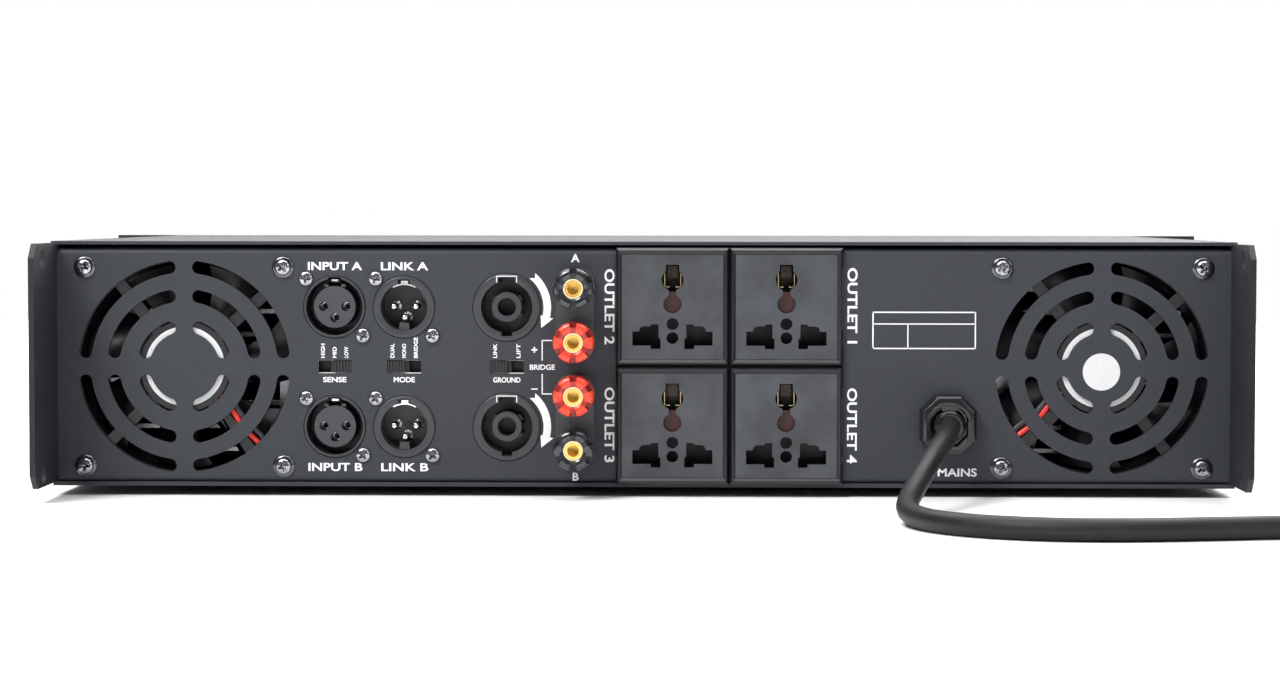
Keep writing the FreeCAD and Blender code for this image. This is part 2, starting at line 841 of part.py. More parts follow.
# ---------------------------------------------------------------- cord, bushing and plug
bushing_size = (20.2, 21.5)
bushing_throat = 7.6
bushing_head = 7.5
bushing_reach = 12.5
route = [
    (-109.5, rear_face_y + bushing_reach, 26.45),
    (-107.4, 165.0, 25.2),
    (-100.9, 184.0, 19.0),
    (-93.4, 203.5, 10.4),
    (-87.9, 225.3, 4.9),
    (-91.8, 247.9, 3.8),
    (-106.6, 266.8, 3.8),
    (-129.1, 277.6, 3.8),
    (-155.1, 278.5, 3.8),
    (-181.5, 273.1, 3.8),
    (-208.0, 266.8, 3.8),
    (-236.0, 263.8, 3.8),
    (-262.0, 263.6, 3.8),
]
coil_at = (-269.0, 218.5)
coil_half_width = coil_columns * cord_radius
coil_top = coil_layers * cord_diameter
plug_x = coil_at[0] - 30.0
plug_size = (26.0, 34.0, 20.0)
plug_relief = 22.0
plug_blade = (1.5, 17.0, 6.3)
plug_blade_offset = 6.35


def cord_bushing():
    """Strain relief: clamp head with flat corners, a throat through the panel, a taper."""
    head = centred(bushing_at, bushing_size, (0.0, bushing_head))
    head = head.makeChamfer(5.4, [edge for edge in head.Edges if upright(edge)])
    front = [edge for edge in head.Edges
             if all(abs(vertex.Z - bushing_head) < 1e-6 for vertex in edge.Vertexes)]
    head = head.makeFillet(1.6, front)
    throat = rod(bushing_at, bushing_throat, (-12.0, 0.0))
    taper = Part.makeCone(cord_radius + 2.6, cord_radius + 1.0, bushing_reach - bushing_head,
                          Vector(bushing_at[0], bushing_at[1], bushing_head))
    place("cord_bushing", joined([head, throat, taper]), rear_frame)


def route_wire(points):
    """Straight runs joined by tangent arcs, each as large as its two runs allow."""
    corners = [Vector(*point) for point in points]
    edges, start = [], corners[0]
    for before, corner, after in zip(corners, corners[1:], corners[2:]):
        way_in, way_out = (corner - before), (after - corner)
        reach = 0.45 * min(way_in.Length, way_out.Length)
        half_turn = way_in.getAngle(way_out) / 2
        way_in.normalize()
        way_out.normalize()
        first, last = corner - way_in * reach, corner + way_out * reach
        radius = reach / math.tan(half_turn)
        inward = (way_out - way_in).normalize()
        centre = corner + inward * (radius / math.cos(half_turn))
        edges.append(Part.LineSegment(start, first).toShape())
        edges.append(Part.Arc(first, centre - inward * radius, last).toShape())
        start = last
        print("turn %5.1f degrees, radius %5.1f mm" % (math.degrees(2 * half_turn), radius))
    edges.append(Part.LineSegment(start, corners[-1]).toShape())
    return Part.Wire(edges)


def mains_cord():
    path = route_wire(route)
    way = (Vector(*route[1]) - Vector(*route[0])).normalize()
    ring = Part.Wire(Part.makeCircle(cord_radius, Vector(*route[0]), way))
    solid = path.makePipeShell([ring], True, False)
    expected = math.pi * cord_radius ** 2 * path.Length
    print("cord run %.1f mm, volume ratio %.4f" % (path.Length, solid.Volume / expected))
    place("mains_cord", solid)


def cord_coil():
    """Outer shape of the put-away turns, lying on the floor."""
    inner = coil_turn_radius - coil_half_width
    outer = coil_turn_radius + coil_half_width
    ring = tube(coil_at, inner, outer, (0.0, coil_top))
    soft = [edge for edge in ring.Edges if edge.BoundBox.ZLength < 1e-6]
    place("cord_coil", ring.makeFillet(0.8 * cord_radius, soft))


def mains_plug():
    """Moulded plug lying on the coil, with its tapered relief and three pins."""
    wide, long, high = plug_size
    back = coil_at[1] + 8.0
    level = coil_top + high / 2
    body = Part.makeBox(wide, long, high, Vector(plug_x - wide / 2, back - long, coil_top))
    along = [edge for edge in body.Edges if edge.BoundBox.YLength > long / 2]
    body = body.makeFillet(4.0, along)
    relief = Part.makeCone(7.5, cord_radius + 1.0, plug_relief, Vector(plug_x, back, level),
                           Vector(0, 1, 0))
    front = back - long
    blades = [
        Part.makeBox(plug_blade[0], plug_blade[1], plug_blade[2],
                     Vector(plug_x + side * plug_blade_offset - plug_blade[0] / 2,
                            front - plug_blade[1], level - 6.0))
        for side in (-1, 1)
    ]
    earth = Part.makeCylinder(2.4, plug_blade[1] + 2.0, Vector(plug_x, front, level + 5.2),
                              Vector(0, -1, 0))
    place("mains_plug", group([joined([body, relief])] + blades + [earth]))


# ---------------------------------------------------------------- inside
def transformer():
    """Ring-core transformer on the base, held by a dished washer and bolt."""
    at = (0.0, front_face_y + front_thick + 84.0)
    floor = foot_height + base_sheet
    core = tube(at, 18.0, 56.0, (floor, floor + 56.0))
    soft = [edge for edge in core.Edges if edge.BoundBox.ZLength < 1e-6]
    core = core.makeFillet(7.0, soft)
    washer = rod(at, 30.0, (floor + 56.0, floor + 58.5))
    bolt = rod(at, 4.0, (floor, floor + 66.0))
    place("transformer", group([core, joined([washer, bolt])]))


sink_length = 150.0
sink_fin = 2.0
sink_count = 9


def sink_start():
    """Where the heatsinks begin, just inside the fans, as world y."""
    return rear_face_y - rear_sheet - fan_thick - 4.0


def heatsinks():
    """Finned extrusions in the air path of each fan."""
    floor = foot_height + base_sheet
    wide, high, web = 66.0, 70.0, 6.0
    sinks = []
    for side in (-1, 1):
        low = side * fan_u - wide / 2
        back = Part.makeBox(web, sink_length, high,
                            Vector(side * fan_u - side * wide / 2 - web / 2,
                                   sink_start() - sink_length, floor))
        pitch = (high - sink_fin) / (sink_count - 1)
        fins = [
            Part.makeBox(wide, sink_length, sink_fin,
                         Vector(low, sink_start() - sink_length, floor + pitch * k))
            for k in range(sink_count)
        ]
        sinks.append(joined([back] + fins))
    place("heatsinks", group(sinks))


def amplifier_board():
    """Main board on pillars, with the output transistors along both heatsinks."""
    level = foot_height + base_sheet + 8.0
    wide = 2 * (fan_u - 33.0 - 9.0)
    end = rear_face_y - 34.0
    long = 92.0
    board = block((-wide / 2, wide / 2), (end - long, end), (level, level + 1.6))
    pillars = [
        rod(at, 3.0, (foot_height + base_sheet, level))
        for at in square_of((0.0, end - long / 2), wide - 14.0, long - 14.0)
    ]
    cases = [
        block(sorted((side * (wide / 2), side * (wide / 2 + 4.8))),
              (end - long + 8.0 + 17.0 * k, end - long + 21.0 + 17.0 * k),
              (level + 6.0, level + 27.0))
        for side in (-1, 1)
        for k in range(5)
    ]
    place("amplifier_board", group([board] + pillars + cases))


def capacitors():
    level = foot_height + base_sheet + 8.0 + 1.6
    end = rear_face_y - 34.0
    cans = [
        rod((26.0 * k, end - 40.0), 12.0, (level, level + 45.0)) for k in (-2, -1, 0, 1, 2)
    ]
    place("capacitors", group(cans))


# ---------------------------------------------------------------- front
def vent_places():
    return [
        (side * vent_u, front_mid + vent_pitch * (row - (vent_count - 1) / 2))
        for side in (-1, 1)
        for row in range(vent_count)
    ]


def led_places():
    """Two columns of lamps between the level knobs."""
    first = front_mid - 2.0
    return [
        (side * led_u, first + led_pitch * row)
        for side in (-1, 1)
        for row in range(led_rows)
    ]


handle_u_inset = 18.0
handle_spread = 58.0
handle_bar = 4.5


def handle_places(side):
    u = side * (half_width - handle_u_inset)
    return [(u, front_mid + level * handle_spread / 2) for level in (-1, 1)]


def front_panel():
    through = (-front_thick - 1.0, 1.0)
    sheet = centred((0.0, front_mid), (panel_width, body_height), (-front_thick, 0.0))
    edges = [edge for edge in sheet.Edges
             if all(abs(vertex.Z) < 1e-6 for vertex in edge.Vertexes)]
    sheet = sheet.makeChamfer(0.6, edges)
    holes = [stadium(at, vent_slot, through) for at in vent_places()]
    holes += [
        stadium(at, rack_slot, through)
        for at in square_of((0.0, front_mid), slot_pitch_u, slot_pitch_v)
    ]
    holes += [rod((side * knob_u, front_mid), knob_shaft + 0.8, through) for side in (-1, 1)]
    holes.append(centred((0.0, rocker_v), rocker_hole(), through))
    holes += [rod(at, led_radius + fit, through) for at in led_places()]
    holes += [rod(at, case_thread + fit, through) for at in front_screw_places()]
    place("front_panel", without(sheet, holes), front_frame)


def stadium(at, size, w):
    """Round-ended slot, longer across."""
    (u, v), (across, up) = at, size
    straight = across - up
    return joined([
        centred(at, (straight, up), w),
        rod((u - straight / 2, v), up / 2, w),
        rod((u + straight / 2, v), up / 2, w),
    ])


def rack_handle(name, side):
    """Round bar handle, bent at both ends and seated on the panel."""
    (u, low), (_, high) = handle_places(side)
    bend = 12.0
    top = handle_reach - handle_bar
    corner = bend * (1 - math.sqrt(0.5))
    path = Part.Wire([
        Part.LineSegment(Vector(u, low, 0), Vector(u, low, top - bend)).toShape(),
        Part.Arc(Vector(u, low, top - bend), Vector(u, low + corner, top - corner),
                 Vector(u, low + bend, top)).toShape(),
        Part.LineSegment(Vector(u, low + bend, top), Vector(u, high - bend, top)).toShape(),
        Part.Arc(Vector(u, high - bend, top), Vector(u, high - corner, top - corner),
                 Vector(u, high, top - bend)).toShape(),
        Part.LineSegment(Vector(u, high, top - bend), Vector(u, high, 0)).toShape(),
    ])
    ring = Part.Wire(Part.makeCircle(handle_bar, Vector(u, low, 0)))
    bar = path.makePipeShell([ring], True, False)
    collars = [tube(at, handle_bar - 0.5, handle_bar + 2.5, (0.0, 2.5))
               for at in handle_places(side)]
    place(name, joined([bar] + collars), front_frame)


def level_knob(name, at):
    """Fluted knob on its shaft."""
    back = seat_gap
    body = rod(at, knob_radius, (back, knob_length))
    rim = [edge for edge in body.Edges
           if edge.BoundBox.ZLength < 1e-6 and edge.BoundBox.ZMin > back + 1]
    body = body.makeChamfer(1.4, rim)
    flutes = []
    for number in range(16):
        centre = polar(knob_radius + 0.9, 360.0 / 16 * (number + 0.5), at)
        flutes.append(rod((centre.x, centre.y), 1.8, (back + 2.0, knob_length + 1)))
    pointer = block((at[0] - 0.6, at[0] + 0.6), (at[1] + 4.0, at[1] + knob_radius + 1),
                    (knob_length - 0.5, knob_length + 1))
    turned = without(body, flutes + [pointer])
    turned.rotate(Vector(at[0], at[1], 0), Vector(0, 0, 1), knob_rest_angle)
    shaft = rod(at, knob_shaft, (-board_back() + 1.0, back))
    place(name, joined([turned, shaft]), front_frame)


knob_rest_angle = 150.0
board_gap = 14.0
pot_radius = 8.0


def board_back():
    return front_thick + board_gap


def front_board():
    """Board behind the front panel, with two level controls."""
    face = -board_back()
    lift = 12.0
    board = block((-knob_u - 20.0, knob_u + 20.0), (front_mid - 16.0 + lift, front_mid + 34.0),
                  (face - 1.6, face))
    controls = []
    for side in (-1, 1):
        at = (side * knob_u, front_mid)
        can = rod(at, pot_radius, (face, face + 8.0))
        bush = rod(at, knob_shaft + 2.0, (face + 8.0, -front_thick))
        bore = rod(at, knob_shaft + running, (face + 0.5, 1.0))
        controls.append(joined([can, bush]).cut(bore))
    solids = [board.cut(joined([rod((s * knob_u, front_mid), 1.0, (face - 3, face + 1))
                                for s in (-1, 1)]))]
    place("front_board", group(solids + controls), front_frame)


def led_lenses():
    """Small round lamps flush in the front panel."""
    lamps = []
    for at in led_places():
        stem = rod(at, led_radius, (-board_back(), 0.4))
        tip = [edge for edge in stem.Edges
               if edge.BoundBox.ZLength < 1e-6 and edge.BoundBox.ZMin > 0.0]
        lamps.append(stem.makeFillet(0.35, tip))
    place("led_lenses", group(lamps), front_frame)


def rocker_hole():
    return (rocker_size[0] + 4.0, rocker_size[1] + 3.0)


rocker_pivot_w = -3.0
rocker_pin_radius = 1.2
rocker_pin_reach = 1.0
rocker_gap = 0.4
switch_flange = 1.6


def rocker_pins(radius, reach):
    """Pins, or their bores, at both sides of the rocker."""
    half = rocker_size[0] / 2 + rocker_gap + reach
    return Part.makeCylinder(radius, 2 * half, Vector(-half, rocker_v, rocker_pivot_w),
                             Vector(1, 0, 0))


def power_switch():
    """Snap-in switch body with a raised rim round the rocker."""
    at = (0.0, rocker_v)
    hole = rocker_hole()
    shell = joined([
        rounded(at, (hole[0] + 3.0, hole[1] + 3.0), (0.0, switch_flange), 1.5),
        centred(at, (hole[0] - 2 * fit, hole[1] - 2 * fit), (-24.0, 0.0)),
    ])
    room = centred(at, (rocker_size[0] + 2 * rocker_gap, rocker_size[1] + 2 * rocker_gap),
                   (-16.0, switch_flange + 1))
    bores = rocker_pins(rocker_pin_radius + running, rocker_pin_reach + 0.2)
    place("power_switch", without(shell, [room, bores]), front_frame)


def power_rocker():
    """Two-way rocker on its pivot pins, off at rest: its lower half stands out."""
    half, face, edge = rocker_size[1] / 2 - 0.5, 4.2, 5.0
    outline = [(-half, edge), (0.0, face), (half, edge), (half, -1.0), (0.0, -5.5), (-half, -1.0)]
    corners = [Vector(-rocker_size[0] / 2, rocker_v + v, rocker_pivot_w + w) for v, w in outline]
    paddle = Part.Face(Part.makePolygon(corners + corners[:1]))
    rocker = joined([
        paddle.extrude(Vector(rocker_size[0], 0, 0)),
        rocker_pins(rocker_pin_radius, rocker_pin_reach),
    ])
    rocker.rotate(Vector(0, rocker_v, rocker_pivot_w), Vector(1, 0, 0), -rocker_tilt)
    place("power_rocker", rocker, front_frame)


# ---------------------------------------------------------------- build
def build():
    base_pan()
    side_plate("side_plate_left", 1)
    side_plate("side_plate_right", -1)
    rear_panel()
    top_cover()
    front_panel()
    rubber_feet()
    case_screws()
    rear_screws()
    for name, side in (("left", -1), ("right", 1)):
        at = (side * fan_u, rear_mid)
        fan_frame("fan_frame_" + name, at)
        fan_rotor("fan_rotor_" + name, at)
        rack_handle("handle_" + name, -side)
    for channel, row in socket_rows.items():
        xlr_input("xlr_input_" + channel, (input_u, row))
        xlr_link("xlr_link_" + channel, (link_u, row))
        speaker_socket("speaker_socket_" + channel, (speaker_u, row))
    post_base_plates()
    post_studs()
    for number, row in enumerate(post_rows, 1):
        post_insert("post_insert_%d" % number, (post_u, row))
        post_cap("post_cap_%d" % number, (post_u, row))
    switch_bodies()
    for name, (u, positions, chosen) in switches.items():
        switch_slider(name + "_slider", positions, u, chosen)
    for number, at in enumerate(outlets, 1):
        outlet("outlet_%d" % number, at)
        outlet_shutter("outlet_shutter_%d" % number, at)
    outlet_faces()
    socket_contacts()
    cord_bushing()
    mains_cord()
    cord_coil()
    mains_plug()
    transformer()
    heatsinks()
    amplifier_board()
    capacitors()
    front_board()
    led_lenses()
    for name, side in (("a", -1), ("b", 1)):
        level_knob("level_knob_" + name, (side * knob_u, front_mid))
    power_switch()
    power_rocker()


build()
os.makedirs("parts", exist_ok=True)
for name, shape in parts.items():
    shape.exportStep("parts/%s.step" % name)
print(len(parts), "nodes")
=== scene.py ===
import json
import math

import bmesh
import bpy
from bpy.props import FloatProperty, FloatVectorProperty, IntProperty, PointerProperty
from mathutils import Matrix, Vector

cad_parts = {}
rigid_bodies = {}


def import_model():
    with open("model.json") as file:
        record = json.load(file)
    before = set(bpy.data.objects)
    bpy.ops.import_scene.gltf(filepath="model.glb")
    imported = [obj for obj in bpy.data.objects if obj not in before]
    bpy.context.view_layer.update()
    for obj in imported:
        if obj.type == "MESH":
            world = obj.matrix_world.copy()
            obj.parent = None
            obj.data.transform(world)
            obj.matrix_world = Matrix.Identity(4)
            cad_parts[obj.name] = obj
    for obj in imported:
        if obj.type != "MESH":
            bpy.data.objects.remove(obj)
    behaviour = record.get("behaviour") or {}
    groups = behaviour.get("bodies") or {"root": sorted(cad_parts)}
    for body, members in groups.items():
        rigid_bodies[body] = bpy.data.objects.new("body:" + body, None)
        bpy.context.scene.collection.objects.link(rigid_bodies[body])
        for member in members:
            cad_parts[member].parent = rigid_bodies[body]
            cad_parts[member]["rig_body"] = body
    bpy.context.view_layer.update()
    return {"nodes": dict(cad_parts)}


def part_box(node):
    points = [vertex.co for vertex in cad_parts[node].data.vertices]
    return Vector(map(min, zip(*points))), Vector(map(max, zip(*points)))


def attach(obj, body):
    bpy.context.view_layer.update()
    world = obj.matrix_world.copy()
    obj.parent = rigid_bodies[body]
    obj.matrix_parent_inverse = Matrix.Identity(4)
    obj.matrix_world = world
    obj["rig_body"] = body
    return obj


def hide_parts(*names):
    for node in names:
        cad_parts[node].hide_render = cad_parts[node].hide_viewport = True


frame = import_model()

bl_info = {
    "name": "Rack Power Amplifier",
    "version": (1, 0, 0),
    "blender": (4, 5, 0),
    "location": "View3D > Sidebar > Amplifier",
    "description": "Builds the surfaces, sockets, cord and stage of a two-unit rack power amplifier",
    "category": "Object",
}

# ---------------------------------------------------------------- places, from the frame
MM = 0.001
REAR_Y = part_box("rear_panel")[1].y
FRONT_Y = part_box("front_panel")[0].y
BASE_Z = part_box("base_pan")[0].z
EAR_END_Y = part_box("side_plate_left")[1].y
# Panels are drawn in millimetres: u to the right, v up from the base, w outwards.
REAR = Matrix(((-1, 0, 0, 0), (0, 0, 1, REAR_Y), (0, 1, 0, BASE_Z), (0, 0, 0, 1)))
REAR = REAR @ Matrix.Scale(MM, 4)
FRONT = Matrix(((1, 0, 0, 0), (0, 0, -1, FRONT_Y), (0, 1, 0, BASE_Z), (0, 0, 0, 1)))
FRONT = FRONT @ Matrix.Scale(MM, 4)
SHEET = 1.5                     # rear panel
CHANNELS = ("a", "b")
SIDES = ("left", "right")


def middle(node, panel=REAR):
    """Middle of a node in a panel's own (u, v)."""
    low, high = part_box(node)
    place = panel.inverted() @ ((low + high) / 2)
    return place.x, place.y


def reach(node, panel=REAR):
    """How far out a node comes from its panel."""
    low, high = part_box(node)
    ends = [(panel.inverted() @ corner).z for corner in (low, high)]
    return max(ends)


# ---------------------------------------------------------------- settings
def length(name, text, default, low=0.0, high=3.0):
    return FloatProperty(name=name, description=text, default=default, min=low, max=high,
                         unit="LENGTH", precision=5)


def colour(name, text, default):
    return FloatVectorProperty(name=name, description=text, default=default, size=3,
                               min=0.0, max=1.0, subtype="COLOR")


class AMP_PG_paint(bpy.types.PropertyGroup):
    case: colour("Case", "Textured powder coat of the case", (0.0315, 0.0348, 0.0425))
    front: colour("Front", "Satin paint of the front panel and handles", (0.012, 0.0125, 0.014))
    outlet_face: colour("Outlet face", "Face plates of the outlets", (0.050, 0.0545, 0.063))
    socket: colour("Sockets", "Moulded line and speaker sockets", (0.027, 0.029, 0.033))
    red: colour("Red caps", "Red binding post caps", (0.80, 0.055, 0.020))
    ink: colour("Legend ink", "Printed legends", (0.86, 0.87, 0.88))
    grain: length("Grain", "Size of the powder coat's grain", 0.0007, 0.0001, 0.01)


class AMP_PG_fasteners(bpy.types.PropertyGroup):
    fan_head: length("Fan screw head", "Head diameter of the fan screws", 0.0056)
    small_head: length("Small screw head", "Head diameter of the socket screws", 0.0052)
    washer: length("Washer", "Outside diameter of the fan screws' washers", 0.0078)
    seed: IntProperty(name="Seed", description="Turns each screw's cross", default=7)


class AMP_PG_fans(bpy.types.PropertyGroup):
    blades: IntProperty(name="Blades", description="Blades of each fan", default=7, min=3)
    label: length("Label", "Diameter of the plain label on the motor plate", 0.0288)
    lead: length("Lead", "Diameter of a fan lead", 0.0021)


class AMP_PG_legends(bpy.types.PropertyGroup):
    thickness: length("Thickness", "Height of the ink over the paint", 0.00004)
    large: length("Large capitals", "Cap height of the socket names", 0.0028)
    small: length("Small capitals", "Cap height of the switch names", 0.0018)
    outlet: length("Outlet capitals", "Cap height of the outlet names", 0.0034)


class AMP_PG_cord(bpy.types.PropertyGroup):
    diameter: length("Diameter", "Diameter of the mains cord", 0.0075)
    length: length("Length", "Length of the mains cord with its coil", 1.70)
    turn_radius: length("Turn radius", "Middle of the coil's bundle of turns", 0.0412)


class AMP_PG_stage(bpy.types.PropertyGroup):
    lens: FloatProperty(name="Lens", description="Focal length in mm", default=84.4)
    distance: length("Distance", "Camera to the rear panel", 1.074)
    floor: colour("Floor", "Plain floor", (0.86, 0.86, 0.86))
    sky: FloatProperty(name="Sky", description="Strength of the white sky", default=0.21)


class AMP_PG_all(bpy.types.PropertyGroup):
    paint: PointerProperty(type=AMP_PG_paint)
    fasteners: PointerProperty(type=AMP_PG_fasteners)
    fans: PointerProperty(type=AMP_PG_fans)
    legends: PointerProperty(type=AMP_PG_legends)
    cord: PointerProperty(type=AMP_PG_cord)
    stage: PointerProperty(type=AMP_PG_stage)


def settings():
    return bpy.context.scene.amplifier


# ---------------------------------------------------------------- materials
class Surface:
    """A node-based material that starts as one shader with Object coordinates."""

    def __init__(self, name, base, roughness, metallic=0.0, coat=0.0, ior=1.5):
        self.material = bpy.data.materials.new(name)
        self.material.use_nodes = True
        self.tree = self.material.node_tree
        self.shader = self.tree.nodes["Principled BSDF"]
        self.shader.inputs["Base Color"].default_value = (*base, 1.0)
        self.shader.inputs["Roughness"].default_value = roughness
        self.shader.inputs["Metallic"].default_value = metallic
        self.shader.inputs["Coat Weight"].default_value = coat
        self.shader.inputs["IOR"].default_value = ior
        self.base = tuple(base)
        self.place = self.node("ShaderNodeTexCoord").outputs["Object"]
        self.height = None

    def node(self, kind, **values):
        made = self.tree.nodes.new(kind)
        for key, value in values.items():
            setattr(made, key, value)
        return made

    def link(self, source, target):
        self.tree.links.new(source, target)

    def stretched(self, scale):
        """Object coordinates scaled along each axis, for brushed or streaked patterns."""
        mapping = self.node("ShaderNodeMapping")
        mapping.inputs["Scale"].default_value = scale
        self.link(self.place, mapping.inputs["Vector"])
        return mapping.outputs["Vector"]

    def noise(self, size, detail=3.0, rough=0.5, vector=None, low=0.3, high=0.7):
        """Noise of about that size in metres, spread from 0 to 1."""
        noise = self.node("ShaderNodeTexNoise")
        noise.inputs["Scale"].default_value = 1.0 / size
        noise.inputs["Detail"].default_value = detail
        noise.inputs["Roughness"].default_value = rough
        self.link(vector or self.place, noise.inputs["Vector"])
        return self.spread(noise.outputs["Fac"], low, high, 0.0, 1.0)

    def spread(self, value, low, high, to_low, to_high):
        ranged = self.node("ShaderNodeMapRange")
        for name, number in (("From Min", low), ("From Max", high),
                             ("To Min", to_low), ("To Max", to_high)):
            ranged.inputs[name].default_value = number
        self.link(value, ranged.inputs["Value"])
        return ranged.outputs["Result"]

    def mix(self, factor, first, second):
        mixed = self.node("ShaderNodeMix", data_type="RGBA")
        self.link(factor, mixed.inputs["Factor"])
        for key, value in (("A", first), ("B", second)):
            socket = [s for s in mixed.inputs if s.name == key and s.type == "RGBA"][0]
            if isinstance(value, (tuple, list)):
                socket.default_value = (*value, 1.0)
            else:
                self.link(value, socket)
        return [s for s in mixed.outputs if s.type == "RGBA"][0]

    def vary(self, factor, by, tint=None):
        """Colour wanders between the base and the base times by, or a tint."""
        other = tint or tuple(min(1.0, channel * by) for channel in self.base)
        source = self.shader.inputs["Base Color"]
        first = source.links[0].from_socket if source.links else self.base
        self.link(self.mix(factor, first, other), source)
        return self

    def roughen(self, factor, low, high):
        self.link(self.spread(factor, 0.0, 1.0, low, high), self.shader.inputs["Roughness"])
        return self

    def bump(self, factor, distance, strength=1.0):
        """Relief of that height in metres, over any relief already there."""
        bump = self.node("ShaderNodeBump")
        bump.inputs["Distance"].default_value = distance
        bump.inputs["Strength"].default_value = strength
        self.link(factor, bump.inputs["Height"])
        if self.height is not None:
            self.link(self.height, bump.inputs["Normal"])
        self.height = bump.outputs["Normal"]
        self.link(self.height, self.shader.inputs["Normal"])
        return self

    def recess(self, depth, dark):
        """Painted shade: colour darkened towards the dark tint where the surface within that
        distance closes in, from an ambient occlusion test.
        """
        open_sky = self.node("ShaderNodeAmbientOcclusion", samples=6)
        open_sky.inputs["Distance"].default_value = depth
        closed = self.spread(open_sky.outputs["AO"], 0.45, 0.95, 1.0, 0.0)
        return self.vary(closed, 1.0, dark)

    def beyond(self, axis, edge):
        """1 where the coordinate on that axis is over the edge, in metres."""
        split = self.node("ShaderNodeSeparateXYZ")
        self.link(self.place, split.inputs["Vector"])
        test = self.node("ShaderNodeMath", operation="GREATER_THAN")
        self.link(split.outputs[axis], test.inputs[0])
        test.inputs[1].default_value = edge
        return test.outputs["Value"]


def powder_coat(name, base, painted_ear_shade_and_raw_edge=False):
    """Fine pebbled coat with pale specks; for the side plates, a painted shade on the ears past the
    rear panel's plane and a darker sheared end.
    """
    grain = settings().paint.grain
    coat = Surface(name, base, 0.52)
    coat.shader.inputs["Specular IOR Level"].default_value = 0.32
    fine = coat.noise(grain, 4.0, 0.65)
    specks = coat.noise(grain * 0.55, 2.0, 0.7, low=0.55, high=0.78)
    clouds = coat.noise(0.06, 3.0, low=0.25, high=0.75)
    coat.vary(clouds, 0.86)
    coat.vary(specks, 1.45)
    coat.roughen(fine, 0.44, 0.62)
    coat.bump(fine, grain * 0.055)
    if painted_ear_shade_and_raw_edge:
        # Painted shade: the ears past the rear panel's plane get a darker tint.
        ear = coat.beyond("Y", REAR_Y + 0.0005)
        coat.vary(ear, 1.0, (0.0160, 0.0175, 0.0210))
        end = coat.beyond("Y", EAR_END_Y - 0.00004)
        coat.vary(end, 1.0, (0.0105, 0.0115, 0.0140))
    return coat.material


def moulded(name, base, roughness=0.38, mottle=1.25, coat=0.0, fine=0.0004):
    """Moulded plastic: slight flow marks and a fine tool texture."""
    plastic = Surface(name, base, roughness, coat=coat)
    flow = plastic.noise(0.014, 4.0, 0.6, low=0.34, high=0.66)
    skin = plastic.noise(fine, 2.0)
    plastic.vary(flow, mottle)
    plastic.roughen(flow, max(0.05, roughness - 0.06), roughness + 0.08)
    plastic.bump(skin, fine * 0.012)
    return plastic.material


def plated(name, base, roughness=0.18, spin=0.00025):
    """Plated metal with fine turning marks."""
    metal = Surface(name, base, roughness, metallic=1.0)
    marks = metal.noise(spin, 2.0, 0.6)
    stains = metal.noise(0.004, 3.0)
    metal.vary(stains, 0.78)
    metal.roughen(marks, roughness * 0.7, roughness * 1.6)
    metal.bump(marks, spin * 0.02)
    return metal.material


def polished(name, base, roughness):
    """Smooth metal with faint stains and no relief; its hollows get painted shade from an occlusion
    test.
    """
    metal = Surface(name, base, roughness, metallic=1.0)
    stains = metal.noise(0.002, 2.0)
    metal.vary(stains, 0.7)
    # Painted shade in the cross of each screw and in other hollows.
    metal.recess(0.0011, (0.02, 0.02, 0.022))
    metal.roughen(stains, roughness * 0.8, roughness * 1.5)
    return metal.material


def brushed(name, base, along, roughness=0.32):
    """Alloy with lines along one axis."""
    metal = Surface(name, base, roughness, metallic=1.0)
    scale = [1.0, 1.0, 1.0]
    scale[along] = 0.02
    lines = metal.noise(0.0004, 3.0, 0.6, vector=metal.stretched(scale))
    metal.vary(lines, 0.82)
    metal.roughen(lines, roughness - 0.08, roughness + 0.12)
    metal.bump(lines, 0.000006)
    return metal.material


def sheath(name, base, roughness=0.46):
    """Flexible outer sheath: dull sheen, faint drawn lines and dust."""
    rubber = Surface(name, base, roughness)
    rubber.shader.inputs["Specular IOR Level"].default_value = 0.3
    dust = rubber.noise(0.02, 4.0, 0.6, low=0.4, high=0.75)
    skin = rubber.noise(0.0005, 2.0)
    rubber.vary(dust, 1.6)
    rubber.roughen(dust, roughness, roughness + 0.16)
    rubber.bump(skin, 0.000012)
    return rubber.material


def red_plastic(name, base):
    """Clear red plastic, lit from within, its tone deeper in random patches."""
    red = Surface(name, base, 0.26, coat=0.1)
    red.shader.inputs["Subsurface Weight"].default_value = 0.35
    red.shader.inputs["Subsurface Radius"].default_value = (0.004, 0.0006, 0.0003)
    red.shader.inputs["Subsurface Scale"].default_value = 1.0
    depth = red.noise(0.005, 3.0, low=0.35, high=0.7)
    red.vary(depth, 0.82)
    red.bump(red.noise(0.0007, 2.0), 0.000010)
    return red.material


def ink(name, base):
    """Screen ink, thin enough for the coat's grain to show."""
    print_ = Surface(name, base, 0.5)
    grain = print_.noise(settings().paint.grain, 3.0)
    print_.vary(grain, 0.90)
    print_.bump(grain, settings().paint.grain * 0.04)
    return print_.material


def board(name, base):
    """Lacquered circuit board with lighter copper tracks under the lacquer."""
    lacquer = Surface(name, base, 0.3, coat=0.4)
    tracks = lacquer.node("ShaderNodeTexBrick", offset=0.3, squash=2.0)
    tracks.inputs["Scale"].default_value = 120.0
    tracks.inputs["Mortar Size"].default_value = 0.06
    lacquer.link(lacquer.place, tracks.inputs["Vector"])
    lacquer.vary(tracks.outputs["Fac"], 1.0, (0.09, 0.32, 0.14))
    lacquer.bump(tracks.outputs["Fac"], 0.00003)
    return lacquer.material


